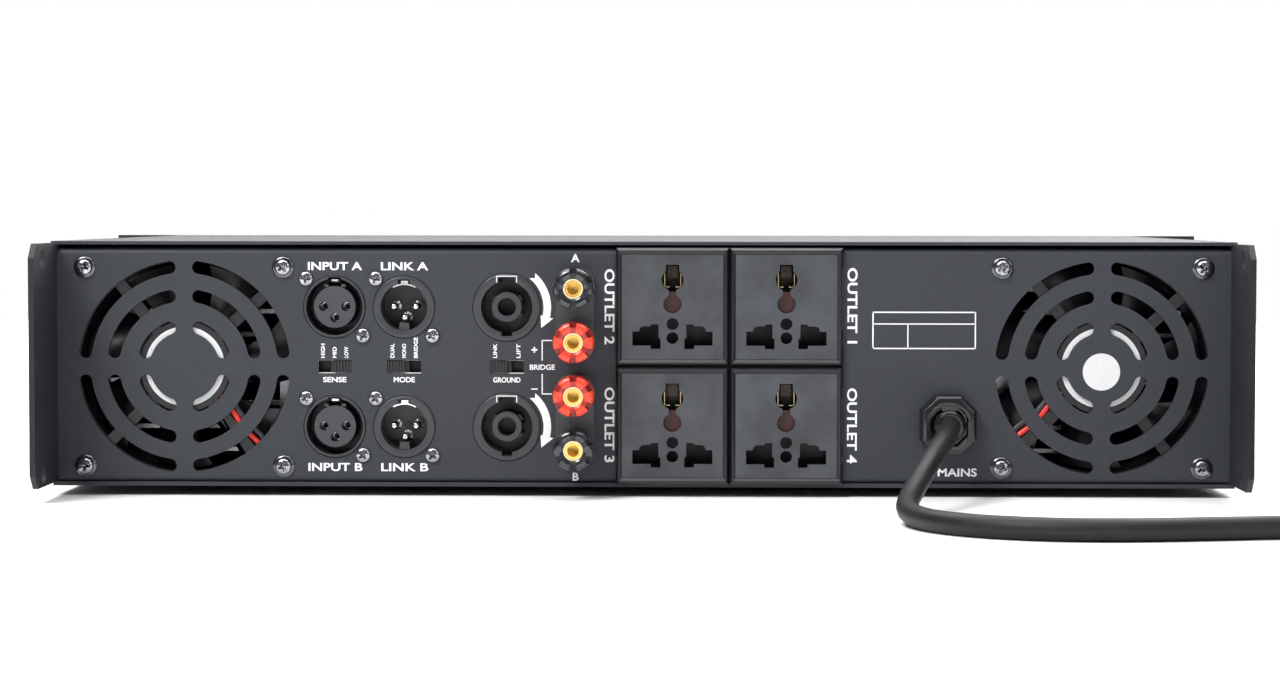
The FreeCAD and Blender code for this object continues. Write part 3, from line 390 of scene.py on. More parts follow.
def wound(name, base):
    """Tape-wrapped ring: wraps radiate from the core's middle."""
    tape = Surface(name, base, 0.35)
    low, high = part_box("transformer")
    centred = tape.node("ShaderNodeMapping")
    centred.inputs["Location"].default_value = (-(low.x + high.x) / 2, -(low.y + high.y) / 2, 0)
    tape.link(tape.place, centred.inputs["Vector"])
    turn = tape.node("ShaderNodeTexGradient", gradient_type="RADIAL")
    tape.link(centred.outputs["Vector"], turn.inputs["Vector"])
    wraps = tape.node("ShaderNodeMath", operation="PINGPONG")
    tape.link(turn.outputs["Fac"], wraps.inputs[0])
    wraps.inputs[1].default_value = 1.0 / 96
    wrap = tape.spread(wraps.outputs["Value"], 0.0, 1.0 / 96, 0.0, 1.0)
    tape.vary(wrap, 0.72)
    tape.bump(wrap, 0.0003)
    return tape.material


def filament(name, base):
    """Open foam behind the air slots."""
    foam = Surface(name, base, 0.9)
    cells = foam.noise(0.0012, 3.0, 0.7)
    foam.vary(cells, 2.0)
    foam.bump(cells, 0.0004)
    return foam.material


FINISHES = {}


def mix_finishes():
    """Every finish of the object, by name."""
    paint = settings().paint
    FINISHES.update(
        case=powder_coat("textured_coat", paint.case),
        # Side plates: painted shade on the ears and a darker sheared end.
        ear=powder_coat("textured_coat_raw_edge", paint.case, painted_ear_shade_and_raw_edge=True),
        front=powder_coat("satin_coat", paint.front),
        handle=powder_coat("handle_coat", (0.03, 0.031, 0.033)),
        screw=polished("bright_steel", (0.44, 0.45, 0.47), 0.17),
        washer=polished("dark_washer", (0.16, 0.165, 0.175), 0.20),
        socket=moulded("socket_plastic", paint.socket, 0.36, 1.12),
        # Near-black finish for the floors, bores and backs of deep recesses: painted shade.
        well=moulded("recess_painted_shade_black", (0.004, 0.004, 0.005), 0.4),
        insert=moulded("insert_plastic", (0.034, 0.036, 0.041), 0.45, 1.12),
        surround=moulded("surround_plastic", (0.0050, 0.0057, 0.0075), 0.34, 1.3),
        outlet_face=moulded("outlet_plastic", paint.outlet_face, 0.42, 0.55, fine=0.0006),
        fan=moulded("fan_plastic", (0.006, 0.0065, 0.0075), 0.36),
        strut=moulded("strut_plastic", (0.026, 0.028, 0.032), 0.4),
        label=ink("plain_label", (0.66, 0.67, 0.68)),
        red_lead=moulded("red_lead", (0.75, 0.03, 0.02), 0.35, 0.8),
        black_lead=moulded("black_lead", (0.02, 0.02, 0.022), 0.35),
        red_cap=red_plastic("red_cap_plastic", paint.red),
        black_cap=moulded("black_cap_plastic", (0.009, 0.010, 0.013), 0.16, 1.4, coat=0.5),
        # Darker finishes for the caps' slot faces: painted shade in the notches.
        deep_black=moulded("black_cap_slots_painted_shade", (0.003, 0.003, 0.004), 0.4),
        deep_red=moulded("red_cap_slots_painted_shade", (0.30, 0.012, 0.006), 0.35),
        gold=plated("gold_plate", (0.95, 0.62, 0.16), 0.20),
        pale_gold=moulded("gold_rim", (0.80, 0.66, 0.44), 0.3),
        contact=plated("spring_contact", (0.80, 0.62, 0.34), 0.24),
        strip=plated("dark_strip", (0.055, 0.045, 0.040), 0.30),
        # Pale plate seen through the switch slots: painted highlight on the switch shell.
        land=moulded("pale_land_painted_highlight", (0.60, 0.61, 0.62), 0.35),
        pin=plated("silver_pin", (0.92, 0.92, 0.93), 0.12),
        slider=moulded("slider_plastic", (0.012, 0.012, 0.014), 0.42),
        shutter=moulded("shutter_plastic", (0.034, 0.0025, 0.0030), 0.45),
        sheath=sheath("cord_sheath", (0.007, 0.007, 0.0085)),
        bushing=moulded("bushing_plastic", (0.006, 0.0065, 0.008), 0.22, 1.3, coat=0.2),
        foot=sheath("foot_rubber", (0.022, 0.022, 0.022), 0.7),
        tape=wound("core_tape", (0.62, 0.42, 0.10)),
        sink=brushed("heatsink_alloy", (0.62, 0.63, 0.65), 1),
        board=board("board_lacquer", (0.012, 0.10, 0.035)),
        can=moulded("can_sleeve", (0.02, 0.03, 0.10), 0.25, coat=0.4),
        knob=moulded("knob_plastic", (0.02, 0.02, 0.022), 0.4),
        lamp=moulded("lamp_lens", (0.05, 0.42, 0.12), 0.12, coat=0.6),
        foam=filament("filter_foam", (0.012, 0.012, 0.013)),
        ink=ink("legend_ink", paint.ink),
    )


# ---------------------------------------------------------------- mesh building
def disc_ring(mesh, radius, w, at, steps):
    """Ring of vertices; the radius is a number, or a function of the angle in degrees."""
    if not callable(radius) and radius < 1e-6:
        return [mesh.verts.new((at[0], at[1], w))]
    ring = []
    for k in range(steps):
        turn = math.tau * k / steps
        out = radius(math.degrees(turn)) if callable(radius) else radius
        ring.append(mesh.verts.new((at[0] + out * math.cos(turn), at[1] + out * math.sin(turn), w)))
    return ring


def lathe(mesh, profile, at=(0.0, 0.0), steps=48, finish=0):
    """Closed solid of revolution from (radius, w) pairs; it ends on the axis or on itself.

    The finish is an index, or a function of the angle in degrees and the height."""
    closed = profile[0] == profile[-1]
    rows = profile[:-1] if closed else profile
    rings = [disc_ring(mesh, radius, w, at, steps) for radius, w in rows]
    pairs = list(zip(rings, rings[1:])) + ([(rings[-1], rings[0])] if closed else [])
    for lower, upper in pairs:
        for k in range(steps):
            following = (k + 1) % steps
            if len(lower) == 1 and len(upper) == 1:
                continue
            if len(lower) == 1:
                face = (lower[0], upper[following], upper[k])
            elif len(upper) == 1:
                face = (lower[k], lower[following], upper[0])
            else:
                face = (lower[k], lower[following], upper[following], upper[k])
            made = mesh.faces.new(face)
            level = (lower[0].co.z + upper[0].co.z) / 2
            turn = 360.0 * (k + 0.5) / steps
            made.material_index = finish(turn, level) if callable(finish) else finish


def slab(mesh, outline, w, finish=0):
    """Prism on an outline of (u, v) points."""
    lower = [mesh.verts.new((u, v, w[0])) for u, v in outline]
    upper = [mesh.verts.new((u, v, w[1])) for u, v in outline]
    faces = [lower[::-1], upper]
    count = len(outline)
    for k in range(count):
        following = (k + 1) % count
        faces.append((lower[k], lower[following], upper[following], upper[k]))
    for face in faces:
        mesh.faces.new(face).material_index = finish


def block(mesh, u, v, w, finish=0):
    slab(mesh, [(u[0], v[0]), (u[1], v[0]), (u[1], v[1]), (u[0], v[1])], w, finish)


def arc(at, radius, start, end, steps=16):
    """Points from one angle to another, in degrees."""
    return [
        (at[0] + radius * math.cos(math.radians(start + (end - start) * k / steps)),
         at[1] + radius * math.sin(math.radians(start + (end - start) * k / steps)))
        for k in range(steps + 1)
    ]


def turned(at, angle, out, across):
    """Place that far along a direction in degrees, and that far to its left."""
    turn = math.radians(angle)
    return (at[0] + out * math.cos(turn) - across * math.sin(turn),
            at[1] + out * math.sin(turn) + across * math.cos(turn))


def spoke(at, angle, outs, half):
    """Outline of a bar along a direction, between two distances from a middle."""
    corners = ((outs[0], -half), (outs[1], -half), (outs[1], half), (outs[0], half))
    return [turned(at, angle, out, across) for out, across in corners]


def ring_band(mesh, at, inner, outer, start, end, w, finish=0, steps=24):
    """Part of a flat ring, as a prism."""
    slab(mesh, arc(at, outer, start, end, steps) + arc(at, inner, end, start, steps), w, finish)


def rounded_box(at, size, radius, steps=6):
    """Outline of a rectangle with round corners."""
    half_u, half_v = size[0] / 2 - radius, size[1] / 2 - radius
    corners = ((1, 1, 0), (-1, 1, 90), (-1, -1, 180), (1, -1, 270))
    points = []
    for side_u, side_v, start in corners:
        centre = (at[0] + side_u * half_u, at[1] + side_v * half_v)
        points += arc(centre, radius, start, start + 90, steps)
    return points


def loft(mesh, rows, finish=0, caps=True):
    """Skin over closed rows of points, all with the same count."""
    rings = [[mesh.verts.new(point) for point in row] for row in rows]
    count = len(rings[0])
    for lower, upper in zip(rings, rings[1:]):
        for k in range(count):
            following = (k + 1) % count
            face = (lower[k], lower[following], upper[following], upper[k])
            mesh.faces.new(face).material_index = finish
    if caps:
        mesh.faces.new(rings[0][::-1]).material_index = finish
        mesh.faces.new(rings[-1]).material_index = finish


def piece(name, mesh, panel, body, finishes, stands_for=(), bevel=0.0, angle=32.0):
    """Turn a built mesh into a finished piece that rides on a body."""
    bmesh.ops.remove_doubles(mesh, verts=mesh.verts, dist=1e-5)
    bmesh.ops.recalc_face_normals(mesh, faces=mesh.faces)
    data = bpy.data.meshes.new(name)
    mesh.to_mesh(data)
    mesh.free()
    data.transform(panel)
    return settled(name, data, body, finishes, stands_for, bevel, angle)


def settled(name, data, body, finishes, stands_for=(), bevel=0.0, angle=32.0):
    """Shade, paint and mount a mesh that is already in place."""
    for finish in finishes:
        data.materials.append(FINISHES[finish])
    data.shade_smooth()
    data.set_sharp_from_angle(angle=math.radians(angle))
    made = bpy.data.objects.new(name, data)
    bpy.context.scene.collection.objects.link(made)
    if bevel:
        soften(made, bevel, angle)
    if stands_for:
        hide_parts(*stands_for)
    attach(made, body)
    return made


def soften(made, width, angle=32.0):
    """Small round on every sharp edge."""
    edge = made.modifiers.new("edge_round", "BEVEL")
    edge.width = width * MM
    edge.segments = 2
    edge.limit_method = "ANGLE"
    edge.angle_limit = math.radians(angle)
    edge.use_clamp_overlap = True
    edge.harden_normals = True


def rounded_copy(node, finish, width=0.25, name=None, angle=32.0):
    """The node's own shape with its sharp edges rounded."""
    mesh = bmesh.new()
    mesh.from_mesh(frame["nodes"][node].data)
    bmesh.ops.remove_doubles(mesh, verts=mesh.verts, dist=2e-6)
    bmesh.ops.dissolve_limit(mesh, angle_limit=math.radians(0.8), verts=mesh.verts,
                             edges=mesh.edges, delimit=set())
    data = bpy.data.meshes.new(name or node + "_shell")
    mesh.to_mesh(data)
    mesh.free()
    body = frame["nodes"][node]["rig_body"]
    return settled(name or node + "_shell", data, body, [finish], [node], width, angle)


def paint_node(node, finish):
    """Give a carried-over node its finish."""
    made = frame["nodes"][node]
    if not made.data.materials:
        made.data.materials.append(None)
    for index in range(len(made.material_slots)):
        made.material_slots[index].material = FINISHES[finish]


# ---------------------------------------------------------------- repeats
def node_tree(name, inputs):
    """Geometry tree with named inputs; returns the tree, its input and its output."""
    tree = bpy.data.node_groups.new(name, "GeometryNodeTree")
    tree.interface.new_socket("Geometry", in_out="INPUT", socket_type="NodeSocketGeometry")
    for label, kind in inputs:
        tree.interface.new_socket(label, in_out="INPUT", socket_type=kind)
    tree.interface.new_socket("Geometry", in_out="OUTPUT", socket_type="NodeSocketGeometry")
    return tree, tree.nodes.new("NodeGroupInput"), tree.nodes.new("NodeGroupOutput")


def end_tree(tree, geometry, material, out):
    """Realize Instances, then Set Material."""
    real = tree.nodes.new("GeometryNodeRealizeInstances")
    paint = tree.nodes.new("GeometryNodeSetMaterial")
    tree.links.new(geometry, real.inputs[0])
    tree.links.new(real.outputs[0], paint.inputs["Geometry"])
    tree.links.new(material, paint.inputs["Material"])
    tree.links.new(paint.outputs[0], out.inputs[0])


def grown(tree, points, values, panel=None):
    """Run a tree on points and return the result as a plain mesh."""
    data = bpy.data.meshes.new("seed_points")
    data.from_pydata([tuple(point) for point in points], [], [])
    carrier = bpy.data.objects.new("seed_points", data)
    bpy.context.scene.collection.objects.link(carrier)
    modifier = carrier.modifiers.new("grow", "NODES")
    modifier.node_group = tree
    for item in tree.interface.items_tree:
        if item.in_out == "INPUT" and item.name in values:
            modifier[item.identifier] = values[item.name]
    bpy.context.view_layer.update()
    graph = bpy.context.evaluated_depsgraph_get()
    result = bpy.data.meshes.new_from_object(carrier.evaluated_get(graph))
    carrier.modifiers.remove(modifier)
    bpy.data.objects.remove(carrier)
    if panel is not None:
        result.transform(panel)
    return result


def scatter_tree():
    """One model on every point, scaled to a size and turned about w at random."""
    tree, given, out = node_tree("scatter_on_points", [
        ("Model", "NodeSocketObject"), ("Size", "NodeSocketFloat"),
        ("Seed", "NodeSocketInt"), ("Material", "NodeSocketMaterial"),
    ])
    info = tree.nodes.new("GeometryNodeObjectInfo")
    turn = tree.nodes.new("FunctionNodeRandomValue")
    turn.data_type = "FLOAT"
    turn.inputs[3].default_value = math.tau
    angles = tree.nodes.new("ShaderNodeCombineXYZ")
    spots = tree.nodes.new("GeometryNodeMeshToPoints")
    copies = tree.nodes.new("GeometryNodeInstanceOnPoints")
    links = tree.links
    links.new(given.outputs["Model"], info.inputs["Object"])
    links.new(given.outputs["Seed"], turn.inputs["Seed"])
    links.new(turn.outputs[1], angles.inputs["Z"])
    links.new(given.outputs["Geometry"], spots.inputs["Mesh"])
    links.new(spots.outputs[0], copies.inputs["Points"])
    links.new(info.outputs["Geometry"], copies.inputs["Instance"])
    links.new(angles.outputs[0], copies.inputs["Rotation"])
    links.new(given.outputs["Size"], copies.inputs["Scale"])
    end_tree(tree, copies.outputs[0], given.outputs["Material"], out)
    return tree


def spoke_tree():
    """A number of copies of one model, turned evenly about w."""
    tree, given, out = node_tree("turn_about_middle", [
        ("Model", "NodeSocketObject"), ("Count", "NodeSocketInt"),
        ("Material", "NodeSocketMaterial"),
    ])
    info = tree.nodes.new("GeometryNodeObjectInfo")
    spots = tree.nodes.new("GeometryNodePoints")
    order = tree.nodes.new("GeometryNodeInputIndex")
    step = tree.nodes.new("ShaderNodeMath")
    step.operation = "DIVIDE"
    step.inputs[0].default_value = math.tau
    angle = tree.nodes.new("ShaderNodeMath")
    angle.operation = "MULTIPLY"
    angles = tree.nodes.new("ShaderNodeCombineXYZ")
    copies = tree.nodes.new("GeometryNodeInstanceOnPoints")
    links = tree.links
    links.new(given.outputs["Model"], info.inputs["Object"])
    links.new(given.outputs["Count"], spots.inputs["Count"])
    links.new(given.outputs["Count"], step.inputs[1])
    links.new(order.outputs[0], angle.inputs[0])
    links.new(step.outputs[0], angle.inputs[1])
    links.new(angle.outputs[0], angles.inputs["Z"])
    links.new(spots.outputs[0], copies.inputs["Points"])
    links.new(info.outputs["Geometry"], copies.inputs["Instance"])
    links.new(angles.outputs[0], copies.inputs["Rotation"])
    end_tree(tree, copies.outputs[0], given.outputs["Material"], out)
    return tree


def pattern_object(mesh, name):
    """Hidden model that a tree copies."""
    bmesh.ops.recalc_face_normals(mesh, faces=mesh.faces)
    data = bpy.data.meshes.new(name)
    mesh.to_mesh(data)
    mesh.free()
    made = bpy.data.objects.new(name, data)
    bpy.context.scene.collection.objects.link(made)
    return made


def drop(made):
    bpy.data.objects.remove(made)


# ---------------------------------------------------------------- stage
CAMERA_AT = (21.95, 98.75)      # u and v on the rear panel's plane
CAMERA_TURN = (-0.021, 0.046, -0.001)


def camera_turn():
    """Turn of the camera against the rear panel, from yaw, pitch and roll."""
    yaw, pitch, roll = CAMERA_TURN
    turn = Matrix.Rotation(roll, 3, "Z") @ Matrix.Rotation(pitch, 3, "X")
    turn = turn @ Matrix.Rotation(yaw, 3, "Y")
    upright = Matrix(((-1, 0, 0), (0, 0, 1), (0, 1, 0)))
    return (upright @ turn.transposed()).to_4x4()


def area_light(name, place, size, power, target=(0.0, 0.1, 0.05)):
    lamp = bpy.data.lights.new(name, "AREA")
    lamp.shape = "RECTANGLE"
    lamp.size, lamp.size_y = size
    lamp.energy = power
    made = bpy.data.objects.new(name, lamp)
    bpy.context.scene.collection.objects.link(made)
    made.location = place
    way = Vector(target) - Vector(place)
    made.rotation_euler = way.to_track_quat("-Z", "Y").to_euler()
    return made


def paper_sheet(name, line, paper):
    """Wide sheet of paper that follows a line of y and z."""
    half = 4.0
    points = [(side, y, z) for y, z in line for side in (-half, half)]
    faces = [(2 * k, 2 * k + 2, 2 * k + 3, 2 * k + 1) for k in range(len(line) - 1)]
    data = bpy.data.meshes.new(name)
    data.from_pydata(points, [], faces)
    data.shade_smooth()
    data.materials.append(paper)
    made = bpy.data.objects.new(name, data)
    bpy.context.scene.collection.objects.link(made)
    return made


def floor_and_backdrop():
    """Floor, and a curved backdrop that gives light back and is never in the picture."""
    far, bend, top = -1.6, 0.9, 3.0
    surface = Surface("floor_paper", settings().stage.floor, 0.85)
    surface.vary(surface.noise(0.4, 2.0), 0.985)
    curve = [(far, 0.0)]
    for k in range(1, 13):
        angle = math.pi / 2 * k / 12
        curve.append((far - bend * math.sin(angle), bend * (1 - math.cos(angle))))
    curve.append((far - bend, top))
    floor = paper_sheet("floor_sheet", [(3.0, 0.0), (far, 0.0)], surface.material)
    backdrop = paper_sheet("backdrop_sheet", curve, surface.material)
    backdrop.visible_camera = False
    return floor, backdrop


class AMP_OT_finishes(bpy.types.Operator):
    """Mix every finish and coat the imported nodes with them"""
    bl_idname = "amplifier.finishes"
    bl_label = "Finishes"

    def execute(self, context):
        mix_finishes()
        for node in frame["nodes"]:
            paint_node(node, node_finish(node))
        return {"FINISHED"}


class AMP_OT_stage(bpy.types.Operator):
    """Set the floor, the soft light and the camera"""
    bl_idname = "amplifier.stage"
    bl_label = "Stage"

    def execute(self, context):
        scene = context.scene
        scene.view_settings.view_transform = "Standard"
        world = bpy.data.worlds.new("soft_sky")
        world.use_nodes = True
        nodes, links = world.node_tree.nodes, world.node_tree.links
        sky = nodes["Background"]
        sky.inputs["Color"].default_value = (1.0, 1.0, 1.0, 1.0)
        ray = nodes.new("ShaderNodeLightPath")
        strength = nodes.new("ShaderNodeMapRange")
        strength.inputs["To Min"].default_value = settings().stage.sky
        strength.inputs["To Max"].default_value = 1.0
        links.new(ray.outputs["Is Camera Ray"], strength.inputs["Value"])
        links.new(strength.outputs["Result"], sky.inputs["Strength"])
        scene.world = world
        lights = [
            area_light("key_light", (1.1, 1.6, 1.8), (0.9, 0.6), 54.0),
            area_light("fill_light", (-1.6, 1.7, 0.9), (1.2, 0.9), 6.0),
            area_light("top_light", (0.0, -0.5, 1.8), (2.6, 1.6), 50.0, (0.0, 0.0, 0.0)),
            area_light("strip_light", (0.0, 0.9, 1.5), (1.8, 0.25), 12.0),
            area_light("backdrop_light", (0.0, -1.2, 2.4), (3.0, 0.8), 70.0, (0.0, -2.4, 0.6)),
            area_light("front_light", (-1.2, -1.9, 1.2), (1.2, 0.9), 26.0, (0.0, -0.1, 0.05)),
        ]
        floor_and_backdrop()
        stage = settings().stage
        camera = bpy.data.cameras.new("rear_camera")
        camera.sensor_width = 36.0
        camera.lens = stage.lens
        camera.clip_start = 0.01
        eye = bpy.data.objects.new("rear_camera", camera)
        scene.collection.objects.link(eye)
        place = REAR @ Vector((*CAMERA_AT, stage.distance / MM))
        eye.matrix_world = Matrix.Translation(place) @ camera_turn()
        scene.camera = eye
        return {"FINISHED"}


# ---------------------------------------------------------------- mains cord
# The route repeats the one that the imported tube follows.
ROUTE = [
    (-0.1095, 0.1470, 0.02645),
    (-0.1074, 0.1650, 0.0252),
    (-0.1009, 0.1840, 0.0190),
    (-0.0934, 0.2035, 0.0104),
    (-0.0879, 0.2253, 0.0049),
    (-0.0918, 0.2479, 0.0038),
    (-0.1066, 0.2668, 0.0038),
    (-0.1291, 0.2776, 0.0038),
    (-0.1551, 0.2785, 0.0038),
    (-0.1815, 0.2731, 0.0038),
    (-0.2080, 0.2668, 0.0038),
    (-0.2360, 0.2638, 0.0038),
    (-0.2620, 0.2636, 0.0038),
]
COIL_AT = Vector((-0.269, 0.2185))


def ramp(angle, start, end):
    """0 before the start, 1 after the end."""
    return min(1.0, max(0.0, (angle - start) / (end - start)))


def coil_points():
    """Turns lying in two columns and three layers; each change is an eighth turn earlier."""
    pitch = settings().cord.diameter
    middle_radius, low = settings().cord.turn_radius, pitch / 2
    inward = ((405, 450), (1665, 1710))
    outward = ((1035, 1080),)
    upward = ((720, 765), (1350, 1395))
    lift = 0.0155                # of the last stretch, towards the plug
    points = []
    start, step_angle, steps = 96, 15, 116
    for step in range(steps):
        angle = start + step_angle * step
        column = sum(ramp(angle, *span) for span in inward)
        column -= sum(ramp(angle, *span) for span in outward)
        layer = sum(ramp(angle, *span) for span in upward)
        radius = middle_radius + (0.5 - column) * pitch
        height = low + layer * pitch + lift * ramp(angle, 1725, 1860)
        turn = math.radians(angle)
        points.append((COIL_AT.x + radius * math.cos(turn),
                       COIL_AT.y + radius * math.sin(turn), height))
    return points


def lead_to_plug(last, plug):
    """Half turn from the top of the coil round to the back of the plug."""
    end = REAR @ Vector(plug)
    radius = (last[0] - end.x) / 2
    middle_x, start_y = (last[0] + end.x) / 2, last[1] + 0.002
    points = []
    for k in range(1, 7):
        turn = math.pi * k / 6
        rise = last[2] + (end.z - last[2]) * min(1.0, k / 3)
        points.append((middle_x + radius * math.cos(turn),
                       start_y + 0.95 * radius * math.sin(turn), rise))
    points.append((end.x, end.y - 0.004, end.z))
    return points


PLUG = {"u": 299.0, "v": 29.0, "front": 58.0, "back": 92.0, "relief": 114.0}


def plug_shell():
    """Moulded plug with grip steps, its ribbed relief and three pins."""
    mesh = bmesh.new()
    u, v = PLUG["u"], PLUG["v"]
    front, back = PLUG["front"], PLUG["back"]
    rows = []
    for w, width, height in ((front, 24.6, 18.6), (front + 0.8, 26.0, 20.0),
                             (front + 12, 26.0, 20.0), (front + 14, 23.4, 18.4),
                             (back - 8, 22.0, 17.4), (back - 1.5, 19.0, 16.4),
                             (back, 16.5, 14.8)):
        rows.append([(p, q, w) for p, q in rounded_box((u, v), (width, height), 4.0)])
    loft(mesh, rows)
    profile = [(0.0, back - 1.0), (7.4, back - 1.0)]
    ribs = 6
    for k in range(ribs):
        w = back + (PLUG["relief"] - back) * k / ribs
        outer = 7.4 - 2.5 * k / ribs
        profile += [(outer, w), (outer, w + 2.0), (outer - 0.9, w + 2.2), (outer - 0.9, w + 3.4)]
    profile += [(4.75, PLUG["relief"] - 0.2), (4.5, PLUG["relief"]), (0.0, PLUG["relief"])]
    lathe(mesh, profile, (u, v), 40)
    for k in range(5):
        for side in (-1, 1):
            grip = u + side * 11.4
            block(mesh, (grip - 0.9, grip + 0.9), (v - 6, v + 6),
                  (front + 16 + 2.6 * k, front + 17.2 + 2.6 * k))
    for side in (-1, 1):
        place = u + side * 6.35
        block(mesh, (place - 0.75, place + 0.75), (v - 6.0, v + 0.3), (front - 17, front + 2), 1)
    pin = [(0.0, front - 19), (1.0, front - 19), (2.0, front - 18.2), (2.4, front - 17)]
    lathe(mesh, pin + [(2.4, front + 2), (0.0, front + 2)], (u, v + 5.2), 24, 1)
    return piece("mains_plug_shell", mesh, REAR, "chassis", ["sheath", "contact"],
                 ["mains_plug"], 0.25)


class AMP_OT_cord(bpy.types.Operator):
    """Lay the mains cord, its coil and its plug"""
    bl_idname = "amplifier.cord"
    bl_label = "Mains cord"

    def execute(self, context):
        given = settings().cord
        turns = coil_points()
        plug_end = (PLUG["u"], PLUG["v"], PLUG["relief"])
        points = ROUTE + turns + lead_to_plug(turns[-1], plug_end)
        curve = bpy.data.curves.new("mains_cord_line", "CURVE")
        curve.dimensions = "3D"
        curve.resolution_u = 5
        curve.bevel_depth = given.diameter / 2
        curve.bevel_resolution = 4
        curve.use_fill_caps = True
        spline = curve.splines.new("NURBS")
        spline.points.add(len(points) - 1)
        for point, place in zip(spline.points, points):
            point.co = (*place, 1.0)
        spline.order_u = 3
        spline.use_endpoint_u = True
        curve.materials.append(FINISHES["sheath"])
        cord = bpy.data.objects.new("mains_cord_line", curve)
        context.scene.collection.objects.link(cord)
        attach(cord, "chassis")
        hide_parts("mains_cord", "cord_coil")
        plug_shell()
        return {"FINISHED"}


# ---------------------------------------------------------------- case
CASE_NODES = {
    "base_pan": "case", "top_cover": "case", "rear_panel": "case",
    "side_plate_left": "ear", "side_plate_right": "ear",
}


class AMP_OT_case(bpy.types.Operator):
    """Coat the case and round its punched and bent edges"""
    bl_idname = "amplifier.case"
    bl_label = "Case"

    def execute(self, context):
        for node, finish in CASE_NODES.items():
            rounded_copy(node, finish, 0.15)
        rounded_copy("rubber_feet", "foot", 0.6)
        return {"FINISHED"}


# ---------------------------------------------------------------- screws
FAN_SCREW_HALF = 35.75          # half the side of a fan's screw square
LINE_SCREW_SHIFT = 10.2         # of a socket's screws from its middle, in u and in v


def screw_head_model():
    """Domed head of unit radius with a cross recess, as a polar height field."""
    mesh = bmesh.new()
    steps, rings = 48, 12
    centre = mesh.verts.new((0, 0, head_height(0.0, 0.0)))
    rows = []
    for ring in range(1, rings + 1):
        radius = (ring / rings) ** 0.85
        rows.append([
            mesh.verts.new((radius * math.cos(turn), radius * math.sin(turn),
                            head_height(radius * math.cos(turn), radius * math.sin(turn))))
            for turn in (math.tau * k / steps for k in range(steps))
        ])
    foot = [mesh.verts.new((vert.co.x, vert.co.y, 0.0)) for vert in rows[-1]]
    for k in range(steps):
        following = (k + 1) % steps
        mesh.faces.new((centre, rows[0][k], rows[0][following]))
        for lower, upper in zip(rows, rows[1:] + [foot]):
            mesh.faces.new((lower[k], upper[k], upper[following], lower[following]))
    mesh.faces.new(foot[::-1])
    for face in mesh.faces:
        face.smooth = True
    return pattern_object(mesh, "cross_head")


def head_height(x, y):
    """Height over the seat at a place on a head of unit radius."""
    radius = math.hypot(x, y)
    dome = 0.16 + 0.46 * math.sqrt(max(0.0, 1.0 - 0.93 * radius * radius))
    along, across = max(abs(x), abs(y)), min(abs(x), abs(y))
    arm = 0.20 - 0.10 * along
    inside = max(0.0, min(1.0, (arm - across) / 0.045)) * max(0.0, min(1.0, (0.68 - along) / 0.08))
    return dome - 0.50 * inside * max(0.35, 1.0 - along)


def fan_screw_spots():
    return [
        (side * fan_at()[0] + a * FAN_SCREW_HALF, fan_at()[1] + b * FAN_SCREW_HALF)
        for side in (-1, 1) for a in (-1, 1) for b in (-1, 1)
    ]


def line_screw_spots():
    spots = []
    for kind in ("xlr_input_", "xlr_link_"):
        for channel in CHANNELS:
            u, v = middle(kind + channel)
            spots += [(u - LINE_SCREW_SHIFT, v + LINE_SCREW_SHIFT),
                      (u + LINE_SCREW_SHIFT, v - LINE_SCREW_SHIFT)]
    return spots


def fan_at():
    """Middle of the right-hand fan."""
    u, v = middle("fan_frame_right")
    return abs(u), v


class AMP_OT_screws(bpy.types.Operator):
    """Copy one cross-headed screw to every place on both panels"""
    bl_idname = "amplifier.screws"
    bl_label = "Screws"

    def execute(self, context):
        sizes = settings().fasteners
        model = screw_head_model()
        tree = scatter_tree()
        values = {"Model": model, "Seed": sizes.seed, "Material": FINISHES["screw"]}
        fan_heads = grown(tree, [(u, v, 0.8) for u, v in fan_screw_spots()],
                          dict(values, Size=sizes.fan_head / MM / 2), REAR)
        line_heads = grown(tree, [(u, v, 0.02) for u, v in line_screw_spots()],
                           dict(values, Size=sizes.small_head / MM / 2), REAR)
        front_heads = grown(tree, [(u, v, 0.02) for u, v in front_screw_spots()],
                            dict(values, Size=3.2), FRONT)
        drop(model)
        for name, data, slot in (("fan_screw_heads", fan_heads, "screw_steel"),
                                 ("line_screw_heads", line_heads, "screw_steel"),
                                 ("front_screw_heads", front_heads, "screw_steel")):
            settled(name, data, "chassis", [], angle=50.0)
        washers = bmesh.new()
        outer = sizes.washer / MM / 2
        for at in fan_screw_spots():
            lathe(washers, [(2.1, 0.0), (outer, 0.0), (outer, 0.35), (outer - 0.25, 0.6),
                            (outer - 0.8, 0.85), (2.6, 0.85), (2.1, 0.8), (2.1, 0.0)], at, 64)
        piece("fan_washers", washers, REAR, "chassis", ["washer"])
        shanks = bmesh.new()
        for at in fan_screw_spots():
            lathe(shanks, [(0, -8.2), (1.6, -8.2), (2.0, -7.6), (2.0, 0.9), (0, 0.9)], at, 24)
        piece("fan_screw_shanks", shanks, REAR, "chassis", ["screw"],
              ["fan_screws"])
        shanks = bmesh.new()
        for at in line_screw_spots():
            lathe(shanks, [(0, -5.6), (1.2, -5.6), (1.5, -5.0), (1.5, 0.2), (0, 0.2)], at, 24)
        piece("line_screw_shanks", shanks, REAR, "chassis", ["screw"],
              ["connector_screws"])
        return {"FINISHED"}


def front_screw_spots():
    u = (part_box("side_plate_left")[1].x - 0.006) / MM
    v = middle("front_panel", FRONT)[1]
    return [(side * u, v + level * 26.0) for side in (-1, 1) for level in (-1, 1)]


# ---------------------------------------------------------------- fans
STRUT_ANGLES = (128.0, 42.0, 225.0, -52.0)
STRUT_SPAN = (16.0, 38.6)       # from the motor plate to the frame


